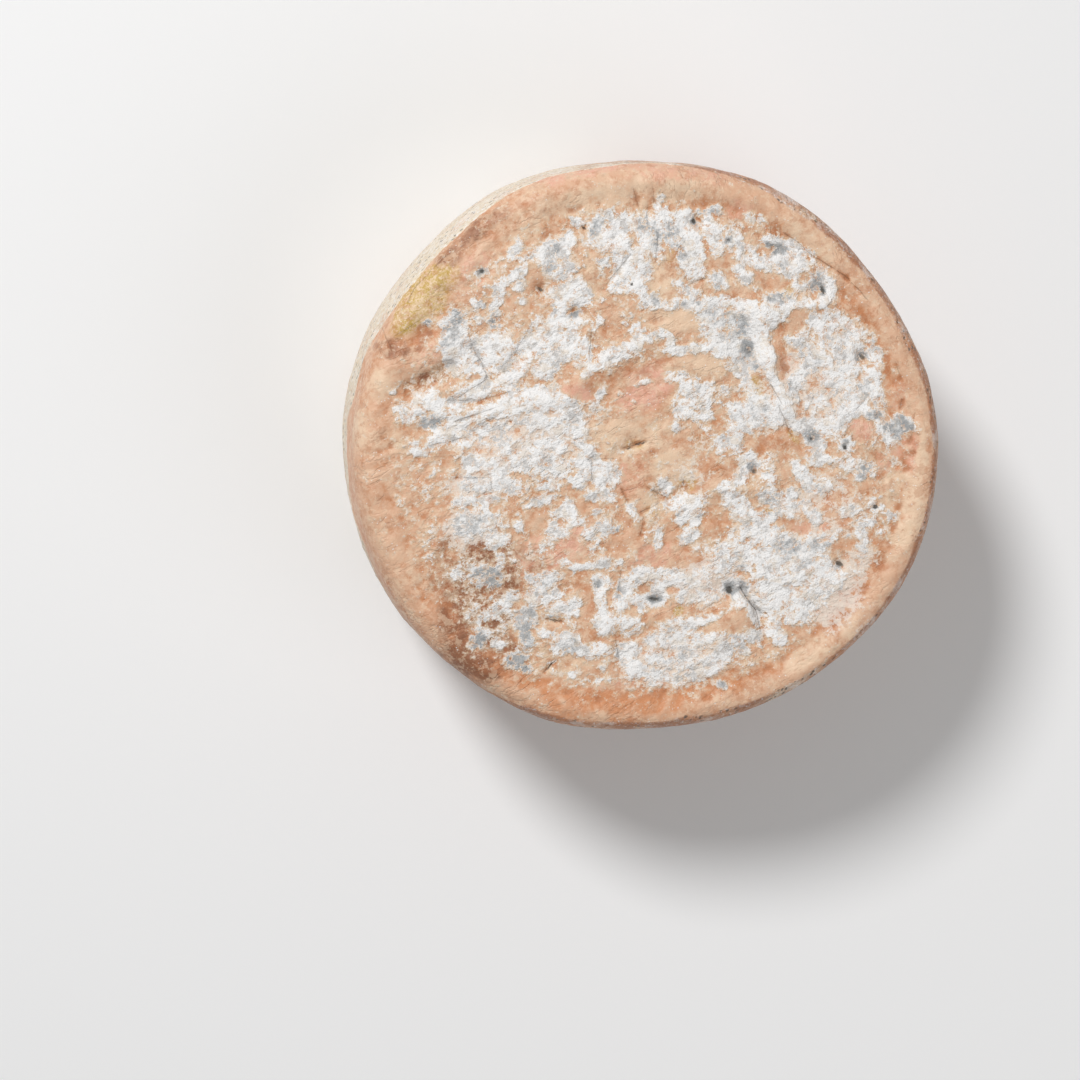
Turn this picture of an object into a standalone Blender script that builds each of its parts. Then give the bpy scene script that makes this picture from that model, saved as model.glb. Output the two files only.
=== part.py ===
"""A whole wheel of soft blue cheese, lying on one flat side with its other side up.

The wheel is one closed solid, turned about +Z. It is built from rings of points that run
from the middle of the upper face, over the rounded rim and down the bulging wall, to the
middle of the flat underside. Hollows, folds and slow waves in the rind are added to it.
"""

import math
from typing import NamedTuple

import bmesh
import bpy
from mathutils import Vector, noise

# Driving dimensions, in metres
FACE_LENGTH = 0.2944  # the upper face along X, to the wall
FACE_WIDTH = 0.2848  # the upper face along Y
HEIGHT = 0.140
WAVE_REACH = 0.0015  # how far the rind's waves rise above the rounded rim's own level
WALL_BULGE = 0.0022  # how far the wall swells out at half its height
TOP_EDGE_REACH = 0.010  # how far in from the wall the rounded top edge runs
TOP_EDGE_DROP = 0.016  # how far down the wall it runs
FOOT_EDGE_REACH = 0.014
FOOT_EDGE_RISE = 0.016
GROOVE_INSET = 0.020  # the groove inside the rim, measured in from the wall
GROOVE_DEPTH = 0.0030  # below the rim, where the rim stands up most
GROOVE_RUNOUT = 0.026  # from the groove in to the level of the face
FACE_RISE = 0.45  # the part of the groove's depth that the face wins back
FLAT_INSET = 0.030  # the underside is a true plane from here inwards
FOOT_LIFT = 0.0009  # how far folds of the rind lift outside that plane

# Fineness of the surface, in metres
FACE_STEP = 0.0054
WALL_STEP = 0.0088
UNDERSIDE_STEP = 0.012
EDGE_ROWS = 3
FEWEST_SIDES = 6

# The slow waves of the rind: size of a wave and height, in metres
FACE_WAVES = ((0.046, 0.0011), (0.019, 0.0007), (0.011, 0.0004))
WALL_WAVES = ((0.060, 0.0010), (0.024, 0.0006))

ROLL_TURN = 20.0  # degrees, the side where the rim stands up most
ROLL_LEAST = 0.35  # its share of the full height on the far side

RIND_COLOUR = (0.72, 0.46, 0.33, 1.0)
RIND_ROUGHNESS = 0.7


class Corner(NamedTuple):
    """A place where the outline swells out, or flattens where its height is negative."""

    turn: float  # degrees round from +X
    height: float  # metres
    half_width: float  # degrees


class Hollow(NamedTuple):
    """A round hollow in the upper face."""

    x: float
    y: float
    radius: float
    depth: float


class Fold(NamedTuple):
    """A straight ridge in the upper face, or a crease where its height is negative."""

    start: tuple[float, float]
    end: tuple[float, float]
    half_width: float
    height: float


class Station(NamedTuple):
    """One ring of the wheel: where its line runs, and which way the rind faces there."""

    inset: float
    height: float
    out: float
    up: float
    step: float


CORNERS = (
    Corner(352, 0.0022, 24),
    Corner(33, -0.0018, 20),
    Corner(65, 0.0018, 18),
    Corner(114, 0.0019, 14),
    Corner(138, -0.0012, 14),
    Corner(168, -0.0010, 16),
    Corner(250, 0.0022, 14),
    Corner(275, -0.0022, 22),
    Corner(330, 0.0007, 14),
)

HOLLOWS = (
    Hollow(-0.083, 0.089, 0.004, 0.0018),
    Hollow(-0.054, 0.081, 0.005, 0.0022),
    Hollow(-0.037, 0.069, 0.006, 0.0022),
    Hollow(-0.075, 0.064, 0.006, 0.0016),
    Hollow(0.023, 0.114, 0.004, 0.0022),
    Hollow(0.063, 0.101, 0.008, 0.0018),
    Hollow(0.086, 0.081, 0.006, 0.0026),
    Hollow(0.049, 0.050, 0.011, 0.0026),
    Hollow(0.108, 0.046, 0.005, 0.0018),
    Hollow(0.082, 0.006, 0.007, 0.0018),
    Hollow(-0.007, 0.004, 0.006, 0.0018),
    Hollow(0.017, -0.018, 0.005, 0.0022),
    Hollow(0.053, -0.008, 0.005, 0.0016),
    Hollow(0.041, -0.070, 0.007, 0.0034),
    Hollow(0.097, -0.057, 0.005, 0.0018),
    Hollow(0.003, -0.073, 0.006, 0.0020),
    Hollow(0.008, -0.022, 0.006, 0.0018),
)

FOLDS = (
    Fold((-0.118, 0.032), (-0.099, 0.042), 0.005, -0.0030),
    Fold((-0.115, 0.046), (-0.101, 0.053), 0.008, 0.0022),
    Fold((-0.130, 0.052), (-0.112, 0.060), 0.006, -0.0018),
    Fold((-0.101, 0.094), (-0.064, 0.120), 0.006, -0.0022),
    Fold((0.053, 0.069), (0.059, 0.048), 0.006, 0.0022),
    Fold((0.060, 0.045), (0.068, 0.020), 0.005, 0.0022),
    Fold((0.091, 0.086), (0.085, 0.074), 0.005, 0.0018),
    Fold((0.085, 0.073), (0.060, 0.069), 0.007, 0.0018),
    Fold((-0.078, 0.022), (-0.040, 0.029), 0.007, 0.0018),
    Fold((-0.099, 0.026), (-0.072, 0.025), 0.004, -0.0014),
    Fold((-0.088, 0.053), (-0.080, 0.037), 0.004, -0.0014),
    Fold((-0.072, 0.042), (-0.060, 0.052), 0.004, -0.0014),
    Fold((-0.033, 0.037), (-0.003, 0.054), 0.006, 0.0018),
    Fold((0.048, -0.070), (0.055, -0.081), 0.004, -0.0028),
    Fold((0.056, -0.082), (0.056, -0.094), 0.005, -0.0022),
    Fold((0.034, -0.090), (0.047, -0.083), 0.009, 0.0020),
    Fold((-0.014, -0.020), (-0.016, -0.070), 0.004, -0.0012),
    Fold((-0.016, -0.092), (-0.013, -0.108), 0.004, -0.0014),
    Fold((0.031, -0.018), (0.060, -0.017), 0.005, 0.0014),
    Fold((-0.112, 0.014), (-0.076, 0.010), 0.005, -0.0014),
)


def swell(away: float, half_width: float) -> float:
    """A smooth bump of height 1 that fades out past its half width."""
    return math.exp(-((away / half_width) ** 2))


def ease(share: float) -> float:
    """Runs from 0 to 1 with a level start and end."""
    share = min(max(share, 0.0), 1.0)
    return share * share * (3.0 - 2.0 * share)


def waves(point: Vector, sizes: tuple[tuple[float, float], ...]) -> float:
    """The slow waves of the rind at a point."""
    return sum(height * noise.noise(point / size) for size, height in sizes)


def outline_radius(turn: float) -> float:
    """From the middle of the wheel to its wall, at an angle in radians."""
    radius = 1.0 / math.hypot(math.cos(turn) / (FACE_LENGTH / 2), math.sin(turn) / (FACE_WIDTH / 2))
    for corner in CORNERS:
        away = (math.degrees(turn) - corner.turn + 180.0) % 360.0 - 180.0
        radius += corner.height * swell(away, corner.half_width)
    return radius


MEAN_RADIUS = (FACE_LENGTH + FACE_WIDTH) / 4
RIM_LEVEL = HEIGHT - WAVE_REACH


def inset_at(x: float, y: float) -> float:
    """How far a point lies in from the wall."""
    return MEAN_RADIUS * (1.0 - math.hypot(x, y) / outline_radius(math.atan2(y, x)))


def groove(x: float, y: float) -> float:
    """The level of the rim's inner side, the groove and the face, below the rim's top."""
    inset = inset_at(x, y)
    turn = math.atan2(y, x) - math.radians(ROLL_TURN)
    strength = ROLL_LEAST + (1.0 - ROLL_LEAST) * (0.5 + 0.5 * math.cos(turn))
    down = ease((inset - TOP_EDGE_REACH) / (GROOVE_INSET - TOP_EDGE_REACH))
    back = FACE_RISE * ease((inset - GROOVE_INSET) / GROOVE_RUNOUT)
    return GROOVE_DEPTH * strength * (back - down)


def fold_height(fold: Fold, x: float, y: float) -> float:
    """A fold's height at a point, highest along the line from its start to its end."""
    along = Vector(fold.end) - Vector(fold.start)
    offset = Vector((x, y)) - Vector(fold.start)
    share = min(max(offset.dot(along) / along.length_squared, 0.0), 1.0)
    return fold.height * swell((offset - along * share).length, fold.half_width)


def face_relief(x: float, y: float) -> float:
    """The upper face's height at a point, against the top of the rim."""
    level = groove(x, y) + waves(Vector((x, y, 0.0)), FACE_WAVES)
    level += sum(fold_height(fold, x, y) for fold in FOLDS)
    for hollow in HOLLOWS:
        level -= hollow.depth * swell(math.hypot(x - hollow.x, y - hollow.y), hollow.radius)
    return level


def rind_point(station: Station, turn: float) -> Vector:
    """A point of the rind on a station's ring."""
    radius = outline_radius(turn) * (1.0 - station.inset / MEAN_RADIUS)
    point = Vector((radius * math.cos(turn), radius * math.sin(turn), station.height))
    if station.up > 0.0:
        point.z += face_relief(point.x, point.y) * station.up**2
    if station.out > 0.0:
        push = waves(point, WALL_WAVES) * station.out**2
        point.x += push * math.cos(turn)
        point.y += push * math.sin(turn)
    if station.up < 0.0 and station.inset < FLAT_INSET:
        fold = 0.5 + noise.noise(point / WALL_WAVES[-1][0])
        fade = ease((FLAT_INSET - station.inset) / (FLAT_INSET - FOOT_EDGE_REACH))
        point.z += FOOT_LIFT * max(fold, 0.0) * fade
    return point


def spaced(start: float, end: float, step: float) -> list[float]:
    """Even steps from start towards end, both left out."""
    count = max(round(abs(end - start) / step), 1)
    return [start + (end - start) * index / count for index in range(1, count)]


def stations() -> list[Station]:
    """The wheel's rings, from the middle of the upper face to the middle of the underside."""
    rings = [
        Station(inset, RIM_LEVEL, 0.0, 1.0, FACE_STEP)
        for inset in spaced(MEAN_RADIUS, TOP_EDGE_REACH, FACE_STEP)
    ]
    quarter = math.pi / 2
    for row in range(EDGE_ROWS + 1):
        angle = quarter * row / EDGE_ROWS
        out, up = math.sin(angle), math.cos(angle)
        inset = TOP_EDGE_REACH * (1.0 - out)
        rings.append(Station(inset, RIM_LEVEL - TOP_EDGE_DROP * (1.0 - up), out, up, FACE_STEP))
    half_wall = (RIM_LEVEL - TOP_EDGE_DROP - FOOT_EDGE_RISE) / 2
    for height in spaced(RIM_LEVEL - TOP_EDGE_DROP, FOOT_EDGE_RISE, WALL_STEP):
        from_middle = (height - FOOT_EDGE_RISE - half_wall) / half_wall
        rings.append(Station(-WALL_BULGE * (1.0 - from_middle**2), height, 1.0, 0.0, WALL_STEP))
    for row in range(EDGE_ROWS + 1):
        angle = quarter * row / EDGE_ROWS
        out, up = math.cos(angle), -math.sin(angle)
        inset = FOOT_EDGE_REACH * (1.0 - out)
        rings.append(Station(inset, FOOT_EDGE_RISE * (1.0 + up), out, up, WALL_STEP))
    rings += [
        Station(inset, 0.0, 0.0, -1.0, UNDERSIDE_STEP)
        for inset in spaced(FOOT_EDGE_REACH, MEAN_RADIUS, UNDERSIDE_STEP)
    ]
    return rings


def ring_of(mesh: bmesh.types.BMesh, station: Station) -> list[bmesh.types.BMVert]:
    """One ring of points, as many as its length needs."""
    length = 2.0 * math.pi * (MEAN_RADIUS - station.inset)
    count = max(round(length / station.step), FEWEST_SIDES)
    return [mesh.verts.new(rind_point(station, 2.0 * math.pi * i / count)) for i in range(count)]


def stitch(
    mesh: bmesh.types.BMesh, inner: list[bmesh.types.BMVert], outer: list[bmesh.types.BMVert]
) -> None:
    """Triangles between two rings, which may have different numbers of points."""
    i = j = 0
    while i < len(inner) or j < len(outer):
        a, b = inner[i % len(inner)], outer[j % len(outer)]
        if (j + 1) * len(inner) <= (i + 1) * len(outer):
            j += 1
            mesh.faces.new((a, b, outer[j % len(outer)]))
        else:
            i += 1
            mesh.faces.new((a, b, inner[i % len(inner)]))


def cap(mesh: bmesh.types.BMesh, ring: list[bmesh.types.BMVert], height: float) -> None:
    """Closes the middle of a face with triangles that meet at its centre."""
    middle = mesh.verts.new((0.0, 0.0, height))
    for here, after in zip(ring, ring[1:] + ring[:1]):
        mesh.faces.new((middle, here, after))


def centre(mesh: bmesh.types.BMesh) -> None:
    """Moves the wheel so that its length and width lie evenly about the origin."""
    for axis in range(2):
        places = [vert.co[axis] for vert in mesh.verts]
        middle = (max(places) + min(places)) / 2
        for vert in mesh.verts:
            vert.co[axis] -= middle


def rind_material() -> bpy.types.Material:
    """The bare rind, salmon and dull."""
    material = bpy.data.materials.new("rind")
    material.use_nodes = True
    shader = material.node_tree.nodes["Principled BSDF"]
    shader.inputs["Base Color"].default_value = RIND_COLOUR
    shader.inputs["Roughness"].default_value = RIND_ROUGHNESS
    shader.inputs["Metallic"].default_value = 0.0
    return material


def cheese_wheel() -> bpy.types.Object:
    """The wheel as one closed solid."""
    mesh = bmesh.new()
    rings = [ring_of(mesh, station) for station in stations()]
    for inner, outer in zip(rings, rings[1:]):
        stitch(mesh, inner, outer)
    cap(mesh, rings[0], RIM_LEVEL + face_relief(0.0, 0.0))
    cap(mesh, rings[-1], 0.0)
    bmesh.ops.recalc_face_normals(mesh, faces=mesh.faces)
    centre(mesh)
    data = bpy.data.meshes.new("cheese_wheel")
    mesh.to_mesh(data)
    mesh.free()
    data.shade_smooth()
    data.materials.append(rind_material())
    wheel = bpy.data.objects.new("cheese_wheel", data)
    bpy.context.scene.collection.objects.link(wheel)
    return wheel


def main() -> None:
    """Clears the scene and makes the wheel."""
    for old in list(bpy.data.objects):
        bpy.data.objects.remove(old)
    cheese_wheel()


main()
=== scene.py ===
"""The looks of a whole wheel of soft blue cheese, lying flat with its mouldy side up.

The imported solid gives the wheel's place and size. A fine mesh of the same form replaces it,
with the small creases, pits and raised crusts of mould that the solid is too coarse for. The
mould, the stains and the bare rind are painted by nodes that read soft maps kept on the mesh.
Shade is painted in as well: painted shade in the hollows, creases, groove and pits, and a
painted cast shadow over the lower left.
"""

import logging
import math
from collections.abc import Callable
from dataclasses import dataclass
from enum import Enum

import bpy
import numpy as np
from mathutils import Matrix, Vector, noise


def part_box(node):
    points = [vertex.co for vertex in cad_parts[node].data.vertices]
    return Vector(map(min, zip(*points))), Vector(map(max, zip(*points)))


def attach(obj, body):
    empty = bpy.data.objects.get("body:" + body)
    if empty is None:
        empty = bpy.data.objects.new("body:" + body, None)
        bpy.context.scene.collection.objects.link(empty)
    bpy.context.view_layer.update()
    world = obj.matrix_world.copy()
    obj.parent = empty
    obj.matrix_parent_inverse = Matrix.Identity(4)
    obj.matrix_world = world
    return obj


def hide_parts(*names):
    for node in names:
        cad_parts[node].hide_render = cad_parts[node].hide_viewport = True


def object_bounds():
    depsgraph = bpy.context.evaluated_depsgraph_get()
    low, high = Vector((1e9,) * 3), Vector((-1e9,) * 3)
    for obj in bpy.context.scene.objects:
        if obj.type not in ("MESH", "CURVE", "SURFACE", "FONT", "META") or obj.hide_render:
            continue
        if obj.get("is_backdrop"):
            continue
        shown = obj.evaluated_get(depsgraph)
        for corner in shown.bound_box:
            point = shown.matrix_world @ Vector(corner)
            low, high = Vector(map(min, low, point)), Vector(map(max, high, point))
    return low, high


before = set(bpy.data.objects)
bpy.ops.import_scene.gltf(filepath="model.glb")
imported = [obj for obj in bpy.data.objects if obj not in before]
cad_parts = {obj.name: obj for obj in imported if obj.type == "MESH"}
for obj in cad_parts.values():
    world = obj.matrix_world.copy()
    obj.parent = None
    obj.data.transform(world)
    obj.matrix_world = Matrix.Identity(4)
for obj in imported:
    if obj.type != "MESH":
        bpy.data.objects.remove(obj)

LOG = logging.getLogger("cheese_wheel")
NODE = "cheese_wheel"
PICTURE_WIDTH = 1080  # pixels, as is the height
SENSOR_WIDTH = 36.0  # millimetres of film that the picture's width covers
PER_METRE = 1000  # millimetres
STREAK_TURNS = (30.0, 107.0)  # degrees from X, where wrinkles run along the face and up it

# The soft maps kept on the mesh, beside one for each stain
MAPS = (
    "growth", "upright", "cavity", "crease", "crease_side", "veil",
    "grey", "pit", "flush_and_groove_shade", "wall", "pale", "level",
)

Array = np.ndarray
Colour = tuple[float, float, float, float]


def paint(red: int, green: int, blue: int) -> Colour:
    """Turns a colour as seen on a screen, 0 to 255, into Blender's linear one.

    Args:
        red: The red share.
        green: The green share.
        blue: The blue share.

    Returns:
        The linear colour, with full alpha.
    """
    linear = [
        part / 12.92 if part <= 0.04045 else ((part + 0.055) / 1.055) ** 2.4
        for part in (red / 255, green / 255, blue / 255)
    ]
    return (linear[0], linear[1], linear[2], 1.0)


def ease(share: Array) -> Array:
    """Runs from 0 to 1 with a level start and end."""
    share = np.clip(share, 0.0, 1.0)
    return share * share * (3.0 - 2.0 * share)


def swell(away: Array, half_width: float) -> Array:
    """A smooth bump of height 1 that fades out past its half width."""
    return np.exp(-((away / half_width) ** 2))


def waves(points: Array, size: float, shift: float = 0.0) -> Array:
    """Smooth noise, about -1 to 1.

    Args:
        points: The points, one row each.
        size: The length of a wave.
        shift: Moves the noise, so that two calls differ.

    Returns:
        The noise at each point.
    """
    scaled = points / size + shift
    return np.array([noise.noise(Vector(row)) for row in scaled.tolist()])


@dataclass(frozen=True)
class Corner:
    """A place where the outline swells out, or flattens where its height is negative."""

    turn: float
    height: float
    half_width: float


@dataclass(frozen=True)
class Hollow:
    """A round hollow in the upper face."""

    x: float
    y: float
    radius: float
    depth: float

    def near(self, x: Array, y: Array) -> Array:
        """1 in the middle of the hollow, and 0 well away from it."""
        return swell(np.hypot(x - self.x, y - self.y), self.radius)


@dataclass(frozen=True)
class Fold:
    """A straight ridge in the upper face, or a crease where its height is negative."""

    start: tuple[float, float]
    end: tuple[float, float]
    half_width: float
    height: float

    def near(self, x: Array, y: Array) -> Array:
        """1 along the fold's line, and 0 well away from it."""
        run = np.subtract(self.end, self.start)
        offset_x, offset_y = x - self.start[0], y - self.start[1]
        share = np.clip((offset_x * run[0] + offset_y * run[1]) / run.dot(run), 0.0, 1.0)
        return swell(np.hypot(offset_x - share * run[0], offset_y - share * run[1]), self.half_width)


@dataclass(frozen=True)
class Oval:
    """An oval of mould or of a stain on the upper face, strongest in its middle."""

    x: float
    y: float
    long: float
    wide: float
    turn: float
    strength: float

    def near(self, x: Array, y: Array) -> Array:
        """The oval's strength in its middle, half of it at its border, and 0 well outside."""
        cosine, sine = math.cos(math.radians(self.turn)), math.sin(math.radians(self.turn))
        along = ((x - self.x) * cosine + (y - self.y) * sine) / self.long
        across = ((y - self.y) * cosine - (x - self.x) * sine) / self.wide
        return self.strength * ease(1.5 - np.hypot(along, across))


def fold_rows(*rows: tuple[float, ...]) -> tuple[Fold, ...]:
    """Lays out folds from rows of numbers.

    Args:
        *rows: Both ends' X and Y, half the width, and the height, all in millimetres.

    Returns:
        The folds, in metres.
    """
    return tuple(
        Fold(
            (x / PER_METRE, y / PER_METRE),
            (far_x / PER_METRE, far_y / PER_METRE),
            half_width / PER_METRE,
            height / PER_METRE,
        )
        for x, y, far_x, far_y, half_width, height in rows
    )


def oval_rows(*rows: tuple[float, ...]) -> tuple[Oval, ...]:
    """Lays out ovals from rows of numbers.

    Args:
        *rows: The middle's X and Y, half the length and half the width in millimetres, the
            turn in degrees, and the strength.

    Returns:
        The ovals, in metres.
    """
    return tuple(
        Oval(*(size / PER_METRE for size in (x, y, long, wide)), turn, strength)
        for x, y, long, wide, turn, strength in rows
    )


def strongest(ovals: tuple[Oval, ...], x: Array, y: Array) -> Array:
    """The strongest of several ovals at each point."""
    most = np.zeros_like(x)
    for oval in ovals:
        most = np.maximum(most, oval.near(x, y))
    return most


CORNERS = (
    Corner(352, 0.0022, 24),
    Corner(33, -0.0018, 20),
    Corner(65, 0.0018, 18),
    Corner(114, 0.0019, 14),
    Corner(138, -0.0012, 14),
    Corner(168, -0.0010, 16),
    Corner(250, 0.0022, 14),
    Corner(275, -0.0022, 22),
    Corner(330, 0.0007, 14),
)

HOLLOWS = (
    Hollow(-0.083, 0.089, 0.004, 0.0018),
    Hollow(-0.054, 0.081, 0.005, 0.0022),
    Hollow(-0.037, 0.069, 0.006, 0.0022),
    Hollow(-0.075, 0.064, 0.006, 0.0016),
    Hollow(0.023, 0.114, 0.004, 0.0022),
    Hollow(0.063, 0.101, 0.008, 0.0018),
    Hollow(0.086, 0.081, 0.006, 0.0026),
    Hollow(0.049, 0.050, 0.011, 0.0026),
    Hollow(0.108, 0.046, 0.005, 0.0018),
    Hollow(0.082, 0.006, 0.007, 0.0018),
    Hollow(-0.007, 0.004, 0.006, 0.0018),
    Hollow(0.017, -0.018, 0.005, 0.0022),
    Hollow(0.053, -0.008, 0.005, 0.0016),
    Hollow(0.041, -0.070, 0.007, 0.0034),
    Hollow(0.097, -0.057, 0.005, 0.0018),
    Hollow(0.003, -0.073, 0.006, 0.0020),
    Hollow(0.008, -0.022, 0.006, 0.0018),
)

FOLDS = fold_rows(
    (-118, 32, -99, 42, 5, -3), (-115, 46, -101, 53, 8, 2.2), (-130, 52, -112, 60, 6, -1.8),
    (-101, 94, -64, 120, 6, -2.2), (53, 69, 59, 48, 6, 2.2), (60, 45, 68, 20, 5, 2.2),
    (91, 86, 85, 74, 5, 1.8), (85, 73, 60, 69, 7, 1.8), (-78, 22, -40, 29, 7, 1.8),
    (-99, 26, -72, 25, 4, -1.4), (-88, 53, -80, 37, 4, -1.4), (-72, 42, -60, 52, 4, -1.4),
    (-33, 37, -3, 54, 6, 1.8), (48, -70, 55, -81, 4, -2.8), (56, -82, 56, -94, 5, -2.2),
    (34, -90, 47, -83, 9, 2), (-14, -20, -16, -70, 4, -0.6), (-16, -92, -13, -108, 4, -1.4),
    (31, -18, 60, -17, 5, 1.4), (-112, 14, -76, 10, 5, -1.4),
)

# Creases and small ridges too fine for the solid, as the cloth and the shelf left them
CREASES = fold_rows(
    (-88, 53, -84, 46, 1.2, -0.6), (-84, 46, -80, 37, 1.2, -0.7), (-80, 37, -97, 26, 1.4, -0.7),
    (-99, 26, -84, 26, 1.2, -0.6), (-84, 26, -70, 30, 1.4, -0.6), (-122, 71, -116, 81, 1.6, -0.9),
    (-116, 81, -108, 90, 1.6, -0.9), (-108, 90, -100, 97, 1.6, -0.8),
    (-23, 81, -10, 97, 1.4, -0.6), (-59, 63, -66, 50, 1.4, -0.5), (-96, 16, -78, 22, 1.4, -0.7),
    (-108, 4, -90, 8, 1.6, -0.7), (-88, 11, -74, 20, 1.4, -0.7), (47, -69, 50, -74, 1.2, -1.6),
    (50, -74, 55, -80, 1.2, -1.6), (55, -80, 57, -90, 1.6, -1), (34, -18, 41, -19, 1.2, 0.7),
    (41, -19, 55, -19, 1.2, 0.7), (65, 22, 72, 8, 1.4, -0.8), (61, 33, 66, 24, 1.4, -0.7),
    (68, 108, 82, 97, 1.6, -0.7), (82, 97, 99, 86, 1.6, -0.8), (99, 86, 109, 76, 1.6, -0.8),
    (124, 43, 127, 36, 1.4, -0.6), (128, 25, 127, 21, 1.1, -0.6), (134, 18, 132, 4, 1.3, -0.5),
    (137, 4, 135, -12, 1.3, 0.5), (105, 21, 109, 26, 1, -0.4), (118, 1, 122, -4, 1.2, 0.6),
    (121, -16, 121, -26, 1.1, 0.6), (-29, 60, -30, 46, 1.4, -0.6), (4, 108, 3, 94, 1.2, -0.6),
    (20, 83, 28, 86, 1, -0.6), (-8, 129, -5, 120, 1.4, -0.5), (-1, 121, -1, 112, 1.3, -0.5),
    (1, 131, 3, 121, 1.3, -0.4), (-14, -18, -11, -24, 1.1, -0.6), (-14, -60, -15, -70, 1.2, -0.6),
    (-3, -33, -4, -41, 1.4, -0.6), (-18, -3, -29, -3, 1.2, -0.5), (-29, -3, -28, -14, 1.2, -0.5),
    (-96, -12, -79, -12, 1, -0.5), (-79, -12, -78, -18, 1, -0.5), (-50, -83, -43, -84, 1.4, -0.8),
    (-52, -109, -47, -104, 1.2, -1), (-16, -95, -15, -104, 1.2, -0.7), (-12, 2, -2, 5, 1.4, -1),
    (0, -18, 9, -23, 1.4, -0.8), (-4, -30, 4, -26, 1.8, -0.8), (-132, 62, -128, 52, 1.4, -0.6),
)

# Small holes and slits, pierced to let the cheese breathe; their dark inside is painted shade
PITS = oval_rows(
    (22.2, 114, 1.5, 1.3, 90, 1), (87, 80, 2.8, 1.1, 105, 1), (108, 46.5, 1.9, 1.4, 120, 0.9),
    (82, 6, 1.6, 1.4, 0, 0.8), (98.8, 1.6, 1.6, 1.2, 100, 1), (114.7, -28.4, 1.7, 1.3, 0, 1),
    (97, -57, 2.6, 1.4, -25, 1), (53, -10, 1.8, 1.6, 0, 0.9), (-54, 80.5, 2.4, 1.2, -25, 0.9),
    (-83, 89.5, 1.5, 1.3, 0, 0.9), (-37, 69, 1.8, 1.4, 0, 0.6), (-72, 40.5, 1.4, 1.2, 0, 0.7),
    (39, 105, 1.4, 1.2, 0, 0.8), (-9, 83, 0.9, 0.9, 0, 1), (-32.8, 110.7, 1.4, 0.8, -40, 1),
    (41, -69.5, 2.1, 2.6, 0, 1), (-4.5, 4, 3.2, 0.7, 14, 1), (-9.5, 2, 2.6, 0.7, 24, 0.9),
    (-49.5, -106.5, 3.4, 0.8, 50, 0.9), (-47, -83.5, 4.4, 1, -8, 0.8),
    (17.5, -15, 1.8, 0.8, 100, 0.8), (21.5, -12.5, 1.4, 0.8, 20, 0.7),
    (3, -73.5, 3.6, 1.3, -3, 0.9), (93, -8.5, 1.8, 1.4, 0, 0.6), (115, 17.5, 2, 1.4, 40, 0.5),
    (-18, 106, 0.9, 0.9, 0, 0.5), (15.5, 100.5, 2.4, 0.9, 130, 0.5), (60, 102, 3, 1.5, -20, 0.6),
    (50, 50, 2.4, 1.8, 60, 0.7), (-2, -34, 2.4, 0.7, 75, 0.4), (-24.5, -65.5, 2.4, 1.8, 60, 0.4),
)

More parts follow.
